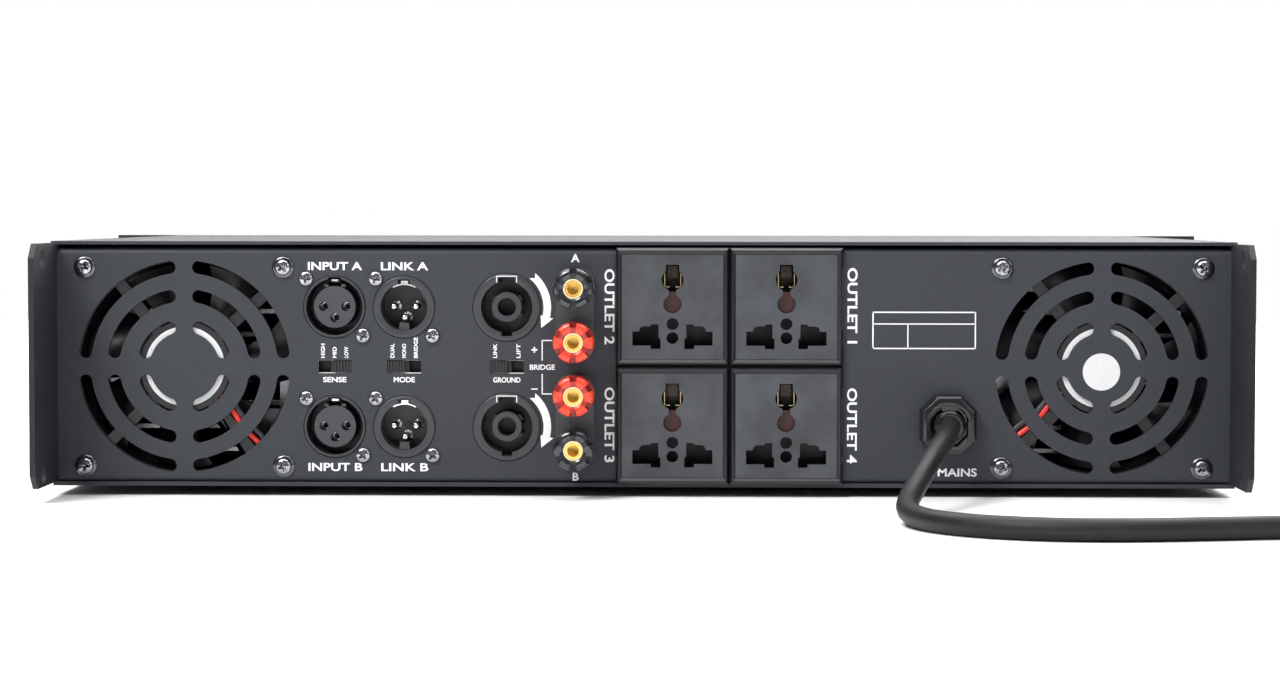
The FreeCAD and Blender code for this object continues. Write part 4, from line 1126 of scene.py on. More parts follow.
def blade_model(root, tip, level):
    """Curved, pitched blade; its chord is arched and it twists towards the tip."""
    mesh = bmesh.new()
    rows = []
    for k in range(7):
        share = k / 6
        radius = root + (tip - root) * share
        pitch = math.radians(47.0 - 20.0 * share)
        sweep = math.radians(9.0) * share * share
        upper, lower = [], []
        for j in range(9):
            along = (j / 8 - 0.5) * (15.5 + 9.5 * share)
            arch = 1.8 * (1 - (2 * j / 8 - 1) ** 2)
            turn = along * math.cos(pitch) / radius + sweep
            w = level + along * math.sin(pitch) * 0.78 + arch
            thick = 0.25 + 0.55 * math.sin(math.pi * min(1.0, max(0.0, j / 8)))
            place = (radius * math.cos(turn), radius * math.sin(turn))
            upper.append((*place, w + thick))
            lower.append((*place, w - thick))
        rows.append(upper + lower[::-1])
    loft(mesh, rows)
    for face in mesh.faces:
        face.smooth = True
    return pattern_object(mesh, "fan_blade")


def fan_levels():
    """Front of the frame and middle of the blades, from the panel's face."""
    front = -SHEET
    low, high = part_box("fan_rotor_left")
    middle_w = ((low.y + high.y) / 2 - REAR_Y) / MM
    return front, middle_w, (high.y - low.y) / MM


def add_rotor(side, at, blades):
    """Cup and shaft; the ring of blades joins it as one mesh."""
    _, level, deep = fan_levels()
    mesh = bmesh.new()
    mesh.from_mesh(blades)
    bmesh.ops.translate(mesh, verts=mesh.verts, vec=(*at, 0.0))
    top, foot = level + deep / 2, level - deep / 2
    lathe(mesh, [(0, top - 1.2), (1.5, top - 1.2), (1.5, foot + 2.0), (14.6, foot + 2.0),
                 (14.6, top - 0.4), (15.0, top), (16.0, top), (16.5, top - 0.5),
                 (16.5, foot + 0.8), (15.7, foot), (0, foot)], at, 64)
    piece("fan_blades_" + side, mesh, REAR, "fan_" + side, ["fan"],
          ["fan_rotor_" + side], angle=40.0)


def add_fan_frame(side, at):
    """Label, strut covers, coil former and the two leads of one fan."""
    front, _, _ = fan_levels()
    half_label = settings().fans.label / MM / 2
    mesh = bmesh.new()
    lathe(mesh, [(0, front - 0.4), (half_label, front - 0.4), (half_label, front + 0.06),
                 (0, front + 0.06)], at, 96, 1)
    lathe(mesh, [(half_label, front - 0.3), (16.55, front - 0.3), (16.8, front - 0.6),
                 (16.8, front - 2.4), (half_label, front - 2.4), (half_label, front - 0.3)],
          at, 96, 0)
    for angle in STRUT_ANGLES:
        slab(mesh, spoke(at, angle, STRUT_SPAN, 1.8), (front - 2.8, front - 0.02), 0)
        slab(mesh, spoke(at, angle, STRUT_SPAN, 0.5), (front - 3.6, front - 2.7), 0)
    piece("fan_struts_" + side, mesh, REAR, "chassis", ["strut", "label"],
          bevel=0.2)
    add_leads(side, at, front)


def add_leads(side, at, front):
    """Red and black leads beside the lower inner strut."""
    inner = 1 if at[0] < 0 else -1
    angle = STRUT_ANGLES[3] if inner > 0 else STRUT_ANGLES[2]
    radius = settings().fans.lead / MM / 2
    mesh = bmesh.new()
    for finish, shift in ((0, 3.4), (1, 5.7)):
        points = []
        for k in range(9):
            out = 14.0 + 25.0 * k / 8
            across = inner * (shift + 0.5 * math.sin(0.9 * k + finish))
            sag = 0.3 * math.cos(0.8 * k)
            points.append((*turned(at, angle, out, across), front - 1.2 - sag))
        wire(mesh, points, radius, finish)
    piece("fan_leads_" + side, mesh, REAR, "chassis", ["red_lead", "black_lead"],
          angle=60.0)


def wire(mesh, points, radius, finish=0, sides=10):
    """Round wire through a few points."""
    rows = []
    for k, point in enumerate(points):
        before, after = Vector(points[max(0, k - 1)]), Vector(points[min(len(points) - 1, k + 1)])
        way = (after - before).normalized()
        across = way.orthogonal().normalized() if k == 0 else (across - way * across.dot(way))
        across.normalize()
        other = way.cross(across)
        rows.append([
            Vector(point) + radius * (math.cos(a) * across + math.sin(a) * other)
            for a in (math.tau * j / sides for j in range(sides))
        ])
    loft(mesh, rows, finish)


class AMP_OT_fans(bpy.types.Operator):
    """Build the two fans behind the grilles"""
    bl_idname = "amplifier.fans"
    bl_label = "Fans"

    def execute(self, context):
        _, level, _ = fan_levels()
        model = blade_model(15.8, 37.0, level)
        blades = grown(spoke_tree(), [(0, 0, 0)],
                       {"Model": model, "Count": settings().fans.blades,
                        "Material": FINISHES["fan"]})
        drop(model)
        blades.materials.clear()
        for side in SIDES:
            at = middle("fan_frame_" + side)
            add_rotor(side, at, blades)
            rounded_copy("fan_frame_" + side, "fan", 0.25)
            add_fan_frame(side, at)
        return {"FINISHED"}


# ---------------------------------------------------------------- line sockets
PIN_SPOTS = ((-4.0, 0.1), (4.0, 0.1), (0.0, -3.9))


def widened(radius, wider, around, half):
    """Radius as a function of the angle: wider within half degrees of a direction."""
    def at_angle(angle):
        away = abs((angle - around + 180.0) % 360.0 - 180.0)
        return wider if away < half else radius
    return at_angle


def pierced(mesh, outline, holes, w, finish=0):
    """Plate of an outline with holes through it."""
    for level in w:
        edges = []
        for loop in [outline] + holes:
            ring = [mesh.verts.new((u, v, level)) for u, v in loop]
            edges += [mesh.edges.new((ring[k], ring[(k + 1) % len(ring)]))
                      for k in range(len(ring))]
        filled = bmesh.ops.triangle_fill(mesh, use_beauty=True, use_dissolve=False, edges=edges)
        for item in filled["geom"]:
            if isinstance(item, bmesh.types.BMFace):
                item.material_index = finish
    for loop in [outline] + holes:
        count = len(loop)
        lower = [mesh.verts.new((u, v, w[0])) for u, v in loop]
        upper = [mesh.verts.new((u, v, w[1])) for u, v in loop]
        for k in range(count):
            following = (k + 1) % count
            face = (lower[k], lower[following], upper[following], upper[k])
            mesh.faces.new(face).material_index = finish


def circle(at, radius, steps=32):
    return arc(at, radius, 0, 360.0 * (steps - 1) / steps, steps - 1)


def socket_flange(mesh, at, radius, deep, finish=0):
    """Square flange and rear body behind the panel, round the well."""
    size = 2 * radius + 2.0
    pierced(mesh, rounded_box(at, (size, size), 2.0), [circle(at, radius - 0.2, 64)],
            (-SHEET - 1.8, -SHEET - 0.02), finish)
    lathe(mesh, [(0, -deep), (radius - 0.4, -deep), (radius - 0.1, -deep + 0.4),
                 (radius - 0.1, -14.6), (0, -14.6)], at, 64, finish)


def input_socket(channel):
    """Female socket: rim, deep ring groove, domed insert with three sprung contacts."""
    name = "xlr_input_" + channel
    at = middle(name)
    mesh = bmesh.new()
    inner = widened(10.15, 10.75, 90.0, 12.6)
    lathe(mesh, [(11.1, -14.6), (11.1, 0.25), (10.9, 0.5), (10.75, 0.6), (inner, 0.6),
                 (inner, -14.0), (inner, -14.6), (11.1, -14.6)], at, 144, 0)
    # The groove floor, pin bores and key block take the near-black second finish: painted shade.
    lathe(mesh, [(7.4, -14.4), (10.8, -14.4), (10.8, -14.0), (7.4, -14.0), (7.4, -14.4)], at,
          64, 1)
    socket_flange(mesh, at, 11.15, 22.0)
    holes = [circle((at[0] + u, at[1] + v), 1.62, 32) for u, v in PIN_SPOTS]
    pierced(mesh, circle(at, 7.45, 96), holes, (-3.4, -0.72), 2)
    for u, v in PIN_SPOTS:
        lathe(mesh, [(1.6, -12.0), (1.9, -12.0), (1.9, -3.3), (1.6, -3.3), (1.6, -12.0)],
              (at[0] + u, at[1] + v), 32, 1)
    lathe(mesh, [(7.0, -1.2), (7.55, -1.2), (7.55, -13.9), (7.0, -13.9), (7.0, -1.2)], at, 96, 2)
    lathe(mesh, [(7.3, -1.3), (7.55, -1.3), (7.55, -1.0), (7.40, -0.75), (7.3, -0.72),
                 (7.3, -1.3)], at, 96, 2)
    for u, v in PIN_SPOTS:
        spot = (at[0] + u, at[1] + v)
        lathe(mesh, [(1.62, -0.72), (2.0, -0.72), (2.0, -0.66), (1.72, -0.62), (1.62, -0.66),
                     (1.62, -0.72)], spot, 40, 2)
        lathe(mesh, [(1.15, -12.0), (1.5, -12.0), (1.5, -7.5), (1.15, -7.5), (1.15, -12.0)],
              spot, 32, 3)
        lathe(mesh, [(0, -13.0), (1.6, -13.0), (1.6, -11.6), (0, -11.6)], spot, 32, 1)
    for side in (-1, 1):
        ear = at[0] + side * 3.1
        block(mesh, (ear - 0.8, ear + 0.8), (at[1] + 7.1, at[1] + 8.2), (-13.9, -1.0), 2)
    block(mesh, (at[0] - 1.5, at[0] + 1.5), (at[1] + 8.3, at[1] + 10.4), (-13.9, -6.0), 1)
    block(mesh, (at[0] - 1.2, at[0] + 1.2), (at[1] + 9.2, at[1] + 9.9), (-6.2, -1.6), 3)
    piece("line_socket_" + channel, mesh, REAR, "chassis", ["socket", "well", "insert", "pin"],
          [name], 0.06)


def link_socket(channel):
    """Male socket: stepped rim, dark well, key, latch and rounded pins."""
    name = "xlr_link_" + channel
    at = middle(name)
    mesh = bmesh.new()
    inner = widened(8.4, 9.9, 90.0, 13.0)
    lathe(mesh, [(11.1, -14.6), (11.1, 0.2), (10.85, 0.5), (10.6, 0.6), (9.95, 0.6), (inner, 0.45),
                 (inner, 0.2), (inner, -14.6), (11.1, -14.6)], at, 144, 0)
    lathe(mesh, [(0, -14.6), (9.9, -14.6), (9.9, -14.0), (0, -14.0)], at, 64, 0)
    socket_flange(mesh, at, 11.15, 22.0)
    slab(mesh, [(at[0] - 2.0, at[1] - 8.7), (at[0] + 2.0, at[1] - 8.7), (at[0] + 1.6, at[1] - 5.6),
                (at[0] - 1.6, at[1] - 5.6)], (-14.1, -0.6), 0)
    ring_band(mesh, at, 7.9, 8.35, 60, 120, (-2.2, -1.2), 2)
    ring_band(mesh, at, 8.2, 9.4, 82, 98, (-8.0, -2.0), 2)
    ring_band(mesh, at, 7.6, 8.5, 20, 38, (-14.1, -0.9), 0)
    for u, v in PIN_SPOTS:
        spot = (at[0] + u, at[1] + v)
        lathe(mesh, [(0, -14.1), (1.9, -14.1), (1.9, -13.2), (1.2, -12.9), (1.2, -3.3),
                     (1.05, -2.8), (0.75, -2.5), (0.4, -2.4), (0, -2.38)], spot, 32, 2)
    piece("link_socket_" + channel, mesh, REAR, "chassis", ["socket", "well", "pin"],
          [name], 0.06)


class AMP_OT_line_sockets(bpy.types.Operator):
    """Build the female and male line sockets"""
    bl_idname = "amplifier.line_sockets"
    bl_label = "Line sockets"

    def execute(self, context):
        for channel in CHANNELS:
            input_socket(channel)
            link_socket(channel)
        return {"FINISHED"}


# ---------------------------------------------------------------- speaker sockets
def speaker_socket(channel):
    """Twist-lock socket: keyed ring well round a hollow hub, with printed guide lines."""
    name = "speaker_socket_" + channel
    at = middle(name)
    mesh = bmesh.new()

    def inner(angle):
        top, low = widened(9.25, 10.7, 90.0, 17.5), widened(9.25, 10.5, 270.0, 11.5)
        return max(top(angle), low(angle))

    lathe(mesh, [(12.15, -14.6), (12.15, 0.2), (11.9, 0.5), (11.6, 0.6), (10.8, 0.6),
                 (inner, 0.5), (inner, 0.2), (inner, -14.6), (12.15, -14.6)], at, 180, 0)
    # Near-black floor of the well: painted shade.
    lathe(mesh, [(0, -14.6), (10.7, -14.6), (10.7, -14.0), (0, -14.0)], at, 64, 1)
    socket_flange(mesh, at, 12.2, 28.0)
    lathe(mesh, [(3.15, -14.1), (3.15, -0.9), (3.4, -0.6), (5.2, -0.6), (5.45, -0.85),
                 (5.45, -14.1), (3.15, -14.1)], at, 96, 0)
    for angle in (35.0, 145.0, 215.0, 325.0):
        ring_band(mesh, at, 5.4, 6.1, angle - 11, angle + 11, (-13.9, -4.2), 0)
    for angle in (0.0, 180.0):
        ring_band(mesh, at, 5.5, 6.0, angle - 12, angle + 12, (-13.0, -9.0), 3)
        ring_band(mesh, at, 8.8, 9.2, angle - 10, angle + 10, (-13.0, -9.5), 3)
    for side in (-1, 1):
        guide = at[0] + side * 3.6
        block(mesh, (guide - 0.15, guide + 0.15), (at[1] + 8.9, at[1] + 11.15), (0.3, 0.64), 2)
    block(mesh, (at[0] - 3.75, at[0] + 3.75), (at[1] + 11.0, at[1] + 11.3), (0.3, 0.64), 2)
    piece("speaker_socket_shell_" + channel, mesh, REAR, "chassis",
          ["socket", "well", "ink", "strip"], [name], 0.05)


class AMP_OT_speaker_sockets(bpy.types.Operator):
    """Build the two twist-lock speaker sockets"""
    bl_idname = "amplifier.speaker_sockets"
    bl_label = "Speaker sockets"

    def execute(self, context):
        for channel in CHANNELS:
            speaker_socket(channel)
        return {"FINISHED"}


# ---------------------------------------------------------------- binding posts
NOTCHES = 6


def notch_offset(angle):
    """Degrees from the middle of the nearest notch."""
    step = 360.0 / NOTCHES
    return abs((angle % step) - step / 2)


def notched(radius, floor=5.5, half=10.5):
    """Cap outline: a circle with six straight-sided slots down to the floor's radius."""
    def at_angle(angle):
        return min(radius, floor) if notch_offset(angle) < half else radius
    return at_angle


def binding_post(number):
    """Notched cap, knurled gold core and bored stud; the cap's slot faces take a darker finish as
    painted shade.
    """
    at = middle("post_insert_%d" % number)
    back, front = 2.7, reach("post_cap_%d" % number)
    cap = bmesh.new()
    bore = 4.56
    lathe(cap, [(bore, back), (5.6, back), (6.1, back + 0.4), (6.3, back + 1.0),
                (6.3, back + 3.4), (6.7, back + 4.0), (7.1, back + 4.4), (7.2, back + 4.9),
                (7.2, front - 5.2), (notched(7.2), front - 5.0), (notched(7.2), front - 1.3),
                (notched(7.0), front - 0.7), (notched(6.6), front - 0.3),
                (notched(6.1), front - 0.1), (notched(5.7), front), (5.2, front),
                (4.1, front - 0.1), (3.6, front - 0.5), (3.56, front - 1.7),
                (bore, front - 1.7), (bore, back)], at, 240,
          # Faces in the notches take the darker second finish: painted shade.
          lambda angle, level: int(notch_offset(angle) < 11.5 and level > front - 5.2))
    red = number in RED_POSTS
    finishes = ["red_cap", "deep_red"] if red else ["black_cap", "deep_black"]
    piece("post_grip_shell_%d" % number, cap, REAR, "post_grip_%d" % number, finishes,
          ["post_cap_%d" % number], angle=40.0)
    core = bmesh.new()

    def knurl(angle):
        return 3.38 + 0.10 * abs(math.sin(math.radians(angle) * 12))

    end = front - 0.3
    lathe(core, [(3.06, back), (4.49, back), (4.49, end - 1.5), (knurl, end - 1.5),
                 (knurl, end - 0.1), (3.3, end), (3.12, end - 0.02), (3.06, end - 0.1),
                 (3.06, back)], at, 144, lambda angle, level: int(level > end - 1.6))
    piece("post_core_shell_%d" % number, core, REAR, "post_core_%d" % number,
          ["gold", "pale_gold"], ["post_insert_%d" % number], angle=40.0)


class AMP_OT_posts(bpy.types.Operator):
    """Build the four binding posts"""
    bl_idname = "amplifier.posts"
    bl_label = "Binding posts"

    def execute(self, context):
        for number in (1, 2, 3, 4):
            binding_post(number)
        rounded_copy("post_base_plates", "insert", 0.5)
        rounded_copy("post_studs", "gold", 0.12)
        return {"FINISHED"}


# ---------------------------------------------------------------- slide switches
def slide_switch(name):
    """Ribbed knob over its carriage, with the steel shell showing through the slot."""
    node = name + "_slider"
    at = middle(node)
    high = 4.3
    knob = bmesh.new()
    block(knob, (at[0] - 3.1, at[0] + 3.1), (at[1] - high / 2 + 0.12, at[1] + high / 2 + 0.12),
          (-3.6, -0.85))
    for k in range(6):
        rib = at[0] - 2.75 + 1.1 * k
        block(knob, (rib - 0.33, rib + 0.33), (at[1] - high / 2 + 0.12, at[1] + high / 2 + 0.12),
              (-0.9, -0.35))
    block(knob, (at[0] - 4.6, at[0] + 4.6), (at[1] - 3.1, at[1] + 3.1), (-3.6, -2.2))
    piece(name + "_knob", knob, REAR, name + "_switch", ["slider"], [node], 0.1)


def switch_shells():
    """Steel shells of the switches, each with a lip round the knob's way; the front plate round the
    window is pale, a painted highlight.
    """
    for name in SWITCHES:
        u, v = slot_middle(name)
        mesh = bmesh.new()
        outline = rounded_box((u, v), (19.0, 9.0), 0.8)
        window = rounded_box((u, v + 0.12), (12.1, 4.35), 0.3)
        # Front plate in the pale finish: the switch shell is real, its brightness a painted
        # highlight.
        pierced(mesh, outline, [window], (-2.05, -SHEET - 0.02), 3)
        outer, inner = rounded_box((u, v), (19.0, 9.0), 0.8), rounded_box((u, v), (17.2, 7.2), 0.4)
        pierced(mesh, outer, [inner], (-9.4, -2.0), 0)
        # Near-black back of the shell: painted shade.
        block(mesh, (u - 8.6, u + 8.6), (v - 3.6, v + 3.6), (-9.4, -8.4), 1)
        for k in range(3):
            leg = u + 4.5 * (k - 1)
            block(mesh, (leg - 0.4, leg + 0.4), (v - 1.0, v + 1.0), (-12.5, -9.3), 2)
        piece(name + "_shell", mesh, REAR, "chassis", ["screw", "well", "contact", "land"],
              bevel=0.08)


SWITCHES = ("sensitivity", "mode", "ground")


def slot_middle(name):
    """The slot lies on its column's sockets."""
    column = {"sensitivity": "xlr_input_a", "mode": "xlr_link_a", "ground": "speaker_socket_a"}
    return middle(column[name])[0], middle(name + "_slider")[1]


class AMP_OT_switches(bpy.types.Operator):
    """Build the three slide switches"""
    bl_idname = "amplifier.switches"
    bl_label = "Slide switches"

    def execute(self, context):
        for name in SWITCHES:
            slide_switch(name)
        switch_shells()
        # Near-black blanks behind the slots stand for the switch bodies: painted shade.
        blank = bmesh.new()
        for name in SWITCHES:
            u, v = slot_middle(name)
            block(blank, (u - 7.0, u + 7.0), (v - 3.0, v + 3.0), (-8.3, -8.0))
        piece("switch_linings", blank, REAR, "chassis", ["well"],
              ["switch_bodies"])
        return {"FINISHED"}


# ---------------------------------------------------------------- mains outlets
def outlet_surround(number):
    """Mitred surround with a ridge, a groove and a snap-in housing."""
    name = "outlet_%d" % number
    u, v = middle(name)
    half_u, half_v = 20.3, 21.2
    window_u, window_v = 18.2, 18.75
    mesh = bmesh.new()

    def ring(inset_u, inset_v, w):
        a, b = half_u - inset_u, half_v - inset_v
        return [(u + p * a, v + q * b, w) for p, q in ((-1, -1), (1, -1), (1, 1), (-1, 1))]

    wide_u, wide_v = half_u - window_u, half_v - window_v
    rows = [ring(0, 0, 0.02), ring(0, 0, 1.7), ring(0.5, 0.5, 2.6), ring(0.95, 1.0, 3.15),
            ring(1.2, 1.35, 3.2), ring(wide_u - 0.35, wide_v - 0.35, 2.75),
            ring(wide_u, wide_v, 2.55), ring(wide_u, wide_v, 0.45),
            ring(2.55, 2.95, 0.45), ring(2.55, 2.95, -18.9)]
    back = [(a, b, -19.0) for a, b, _ in ring(2.45, 2.85, 0)]
    loft(mesh, rows, 0, caps=False)
    outside = [ring(0, 0, 0.02), ring(2.4, 2.8, 0.02)]
    loft(mesh, outside + [[(a, b, -19.0) for a, b, _ in outside[1]]], 0, caps=False)
    loft(mesh, [[(a, b, -18.9) for a, b, _ in rows[-1]], back], 0, caps=False)
    # Near-black floor inside the housing: painted shade.
    base = mesh.faces.new([mesh.verts.new(point) for point in rows[-1]])
    base.material_index = 1
    rear = mesh.faces.new([mesh.verts.new(point) for point in outside_back(outside[1])])
    rear.material_index = 0
    piece("outlet_surround_%d" % number, mesh, REAR, "chassis", ["surround", "well"],
          [name], 0.12, 20.0)


def outside_back(row):
    return [(a, b, -19.0) for a, b, _ in row]


def outlet_metal():
    """Brass cheeks and a dark strip in the key slot of each outlet."""
    mesh = bmesh.new()
    for number in (1, 2, 3, 4):
        u, v = middle("outlet_%d" % number)
        for side in (-1, 1):
            block(mesh, sorted((u + side * 2.75, u + side * 3.05)), (v + 7.0, v + 12.0),
                  (-17.0, -1.2))
            block(mesh, sorted((u + side * 1.0, u + side * 2.8)), (v + 6.9, v + 7.25),
                  (-17.0, -1.6))
        block(mesh, (u - 1.9, u + 1.9), (v + 10.4, v + 14.6), (-16.8, -3.6), 1)
    for channel in CHANNELS:
        at = middle("xlr_link_" + channel)
        lathe(mesh, [(0, -14.3), (1.1, -14.3), (1.1, -13.6), (0, -13.6)], at, 24, 1)
    piece("outlet_contacts", mesh, REAR, "chassis", ["contact", "strip"],
          ["socket_contacts"], 0.08)


class AMP_OT_outlets(bpy.types.Operator):
    """Build the four mains outlets"""
    bl_idname = "amplifier.outlets"
    bl_label = "Mains outlets"

    def execute(self, context):
        for number in (1, 2, 3, 4):
            outlet_surround(number)
            rounded_copy("outlet_shutter_%d" % number, "shutter", 0.3)
        rounded_copy("outlet_faces", "outlet_face", 0.22)
        outlet_metal()
        return {"FINISHED"}


# ---------------------------------------------------------------- cord bushing
def clipped(at, width, height, clip):
    """Rectangle with its corners cut off."""
    a, b = width / 2, height / 2
    points = ((a, b - clip), (a - clip, b), (clip - a, b), (-a, b - clip),
              (-a, clip - b), (clip - a, -b), (a - clip, -b), (a, clip - b))
    return [(at[0] + p, at[1] + q) for p, q in points]


class AMP_OT_bushing(bpy.types.Operator):
    """Build the strain relief that clamps the cord"""
    bl_idname = "amplifier.bushing"
    bl_label = "Cord bushing"

    def execute(self, context):
        at = middle("cord_bushing")
        mesh = bmesh.new()
        rows = []
        for w, size, clip in ((0.02, 20.2, 5.4), (4.8, 20.2, 5.4), (6.4, 19.4, 5.2),
                              (7.2, 18.0, 4.9), (7.5, 16.6, 4.6)):
            rows.append([(p, q, w) for p, q in clipped(at, size, size + 1.3, clip)])
        inner = clipped(at, 13.6, 14.6, 3.9)
        rows.append([(p, q, 7.5) for p, q in inner])
        rows.append([(p, q, 5.0) for p, q in clipped(at, 13.0, 14.0, 3.7)])
        loft(mesh, rows)
        ring_band(mesh, at, 7.1, 8.3, 18, 162, (7.3, 8.2), 0, 40)
        for side in (-1, 1):
            block(mesh, sorted((at[0] + side * 6.6, at[0] + side * 8.2)),
                  (at[1] - 6.0, at[1] + 1.5), (7.3, 7.95))
        slab(mesh, [(at[0] - 2.4, at[1] + 5.0), (at[0] + 2.4, at[1] + 5.0),
                    (at[0] + 3.4, at[1] + 7.2), (at[0] - 3.4, at[1] + 7.2)], (4.8, 8.6))
        lathe(mesh, [(0, 4.6), (6.2, 4.6), (6.2, 5.6), (5.6, 6.4), (5.4, 8.0), (5.0, 8.4),
                     (5.0, 9.6), (5.35, 9.9), (5.3, 10.8), (4.75, 11.4), (4.6, 12.4),
                     (4.3, 12.6), (0, 12.6)], at, 48)
        lathe(mesh, [(0, -11.6), (7.2, -11.6), (7.5, -11.0), (7.5, 0.2), (0, 0.2)], at, 48)
        piece("cord_bushing_shell", mesh, REAR, "chassis", ["bushing"],
              ["cord_bushing"], 0.35, 24.0)
        return {"FINISHED"}


# ---------------------------------------------------------------- legends
def lettering(words, at, cap, width=None, turn=0.0):
    """Mesh of a few words, centred on a place and fitted to a cap height and width."""
    text = bpy.data.curves.new("legend_text", "FONT")
    text.body = words
    text.align_x = "CENTER"
    text.align_y = "CENTER"
    text.extrude = 0.5
    text.offset = 0.022
    text.resolution_u = 4
    maker = bpy.data.objects.new("legend_text", text)
    bpy.context.scene.collection.objects.link(maker)
    bpy.context.view_layer.update()
    graph = bpy.context.evaluated_depsgraph_get()
    data = bpy.data.meshes.new_from_object(maker.evaluated_get(graph))
    drop(maker)
    us = [vert.co.x for vert in data.vertices]
    vs = [vert.co.y for vert in data.vertices]
    tall = cap / 0.70
    wide = width / (max(us) - min(us)) if width else tall * 1.04
    mid_v = (max(vs) + min(vs)) / 2
    thick = settings().legends.thickness / MM
    fit = Matrix.Diagonal((wide, tall, thick, 1.0)) @ Matrix.Translation((0, -mid_v, 0.5))
    place = Matrix.Translation((*at, 0.0)) @ Matrix.Rotation(math.radians(turn), 4, "Z")
    data.transform(place @ fit)
    return data


def line_marks(mesh, marks):
    """Printed bars given as (u, v) corner pairs."""
    thick = settings().legends.thickness / MM
    for us, vs in marks:
        block(mesh, sorted(us), sorted(vs), (0.0, thick))


def turn_arrow(mesh, at):
    """Curved arrow beside a speaker socket: notched tail at the top, head at the bottom."""
    thick = settings().legends.thickness / MM
    slab(mesh, arc(at, 15.9, -14, 50, 24) + arc(at, 14.6, 46, 46, 1)[:1]
         + arc(at, 13.2, 52, -14, 24), (0.0, thick))
    tip = arc(at, 14.4, -31, -31, 1)[0]
    outer, inner = arc(at, 17.2, -13.5, -13.5, 1)[0], arc(at, 12.5, -13.5, -13.5, 1)[0]
    slab(mesh, [tip, outer, inner], (0.0, thick))


def box_lines(mesh, us, vs, line):
    """Outline of a printed box."""
    line_marks(mesh, [(us, (vs[0], vs[0] + line)), (us, (vs[1] - line, vs[1])),
                      ((us[0], us[0] + line), vs), ((us[1] - line, us[1]), vs)])


def rear_words():
    """Every printed word of the rear panel: words, place, cap height, width, turn."""
    sizes = settings().legends
    large, small, tall = sizes.large / MM, sizes.small / MM, sizes.outlet / MM
    top, low = 79.2, 6.95
    input_u, link_u = middle("xlr_input_a")[0], middle("xlr_link_a")[0]
    mid_v = middle("mode_slider")[1]
    words = [
        ("INPUT A", (input_u, top), large, 19.5, 0), ("LINK A", (link_u, top), large, 17.0, 0),
        ("INPUT B", (input_u, low), large, 19.5, 0), ("LINK B", (link_u, low), large, 17.0, 0),
    ]
    names = {"sensitivity": ("SENSE", 8.4), "mode": ("MODE", 7.6), "ground": ("GROUND", 9.8)}
    marks = {"sensitivity": ("HIGH", "MID", "LOW"), "mode": ("DUAL", "MONO", "BRIDGE"),
             "ground": ("LINK", "LIFT")}
    for name, (word, wide) in names.items():
        u = slot_middle(name)[0]
        words.append((word, (u, mid_v - 4.6), small, wide, 0))
        step = 8.4 / (len(marks[name]) - 1)
        for k, mark in enumerate(marks[name]):
            tall_mark = 1.15 * len(mark) + 0.5
            place = (u - 4.2 + step * k, mid_v + 3.2 + tall_mark / 2)
            words.append((mark, place, 1.35, tall_mark, 90))
    post_u = middle("post_insert_1")[0]
    words += [("A", (post_u, 82.2), large, None, 0), ("B", (post_u, 3.7), large, None, 0),
              ("+", (post_u - 14.7, 49.3), large, None, 0),
              ("–", (post_u - 14.7, 35.2), large, None, 0),
              ("BRIDGE", (post_u - 11.9, mid_v), small, 9.0, 0)]
    columns = [middle("outlet_2")[0], middle("outlet_1")[0]]
    edge = 22.6
    for column, names_ in ((-1, ("OUTLET 2", "OUTLET 3")), (1, ("OUTLET 1", "OUTLET 4"))):
        u = columns[0] - edge if column < 0 else columns[1] + edge + 1.0
        for word, number in zip(names_, (2, 3)):
            words.append((word, (u, middle("outlet_%d" % number)[1]), tall, 27.0, -90))
    words.append(("MAINS", (middle("cord_bushing")[0] + 3.5, 5.6), large, 14.0, 0))
    return words


class AMP_OT_legends(bpy.types.Operator):
    """Print the generic legends and marks of the rear panel"""
    bl_idname = "amplifier.legends"
    bl_label = "Legends"

    def execute(self, context):
        mesh = bmesh.new()
        for words, at, cap, width, turn in rear_words():
            data = lettering(words, at, cap, width, turn)
            mesh.from_mesh(data)
            bpy.data.meshes.remove(data)
        for channel in CHANNELS:
            turn_arrow(mesh, middle("speaker_socket_" + channel))
        post_u, mid_v = middle("post_insert_1")[0], middle("mode_slider")[1]
        for way in (-1, 1):
            stem = (mid_v + way * 2.4, mid_v + way * 9.6)
            line_marks(mesh, [((post_u - 12.1, post_u - 11.7), stem),
                              ((post_u - 12.1, post_u - 8.4),
                               (stem[1] - 0.2, stem[1] + 0.2))])
        box_u, box_v = (82.5, 119.5), (49.8, 63.2)
        box_lines(mesh, box_u, box_v, 0.45)
        line_marks(mesh, [(box_u, (58.6, 59.0)), ((95.0, 95.4), (box_v[0], 59.0))])
        piece("rear_legends", mesh, REAR, "chassis", ["ink"], angle=30.0)
        sticker = bmesh.new()
        at = middle("fan_frame_right")
        lathe(sticker, [(0, 0.01), (6.65, 0.01), (6.65, 0.09), (0, 0.09)],
              (abs(at[0]) - 0.2, at[1] - 1.3), 64)
        piece("blank_sticker", sticker, REAR, "chassis", ["label"])
        return {"FINISHED"}


# ---------------------------------------------------------------- front
DIAL_START = 240.0              # direction of the dial's 0, in degrees


def level_dial(mesh, at):
    """Marks and numbers from 0 to 10 round a level knob."""
    thick = settings().legends.thickness / MM
    for k in range(11):
        angle = DIAL_START - 30.0 * k
        slab(mesh, spoke(at, angle, (14.6, 16.2), 0.18), (0.0, thick))
        place = turned(at, angle, 18.6, 0.0)
        data = lettering(str(k), place, 1.9)
        mesh.from_mesh(data)
        bpy.data.meshes.remove(data)


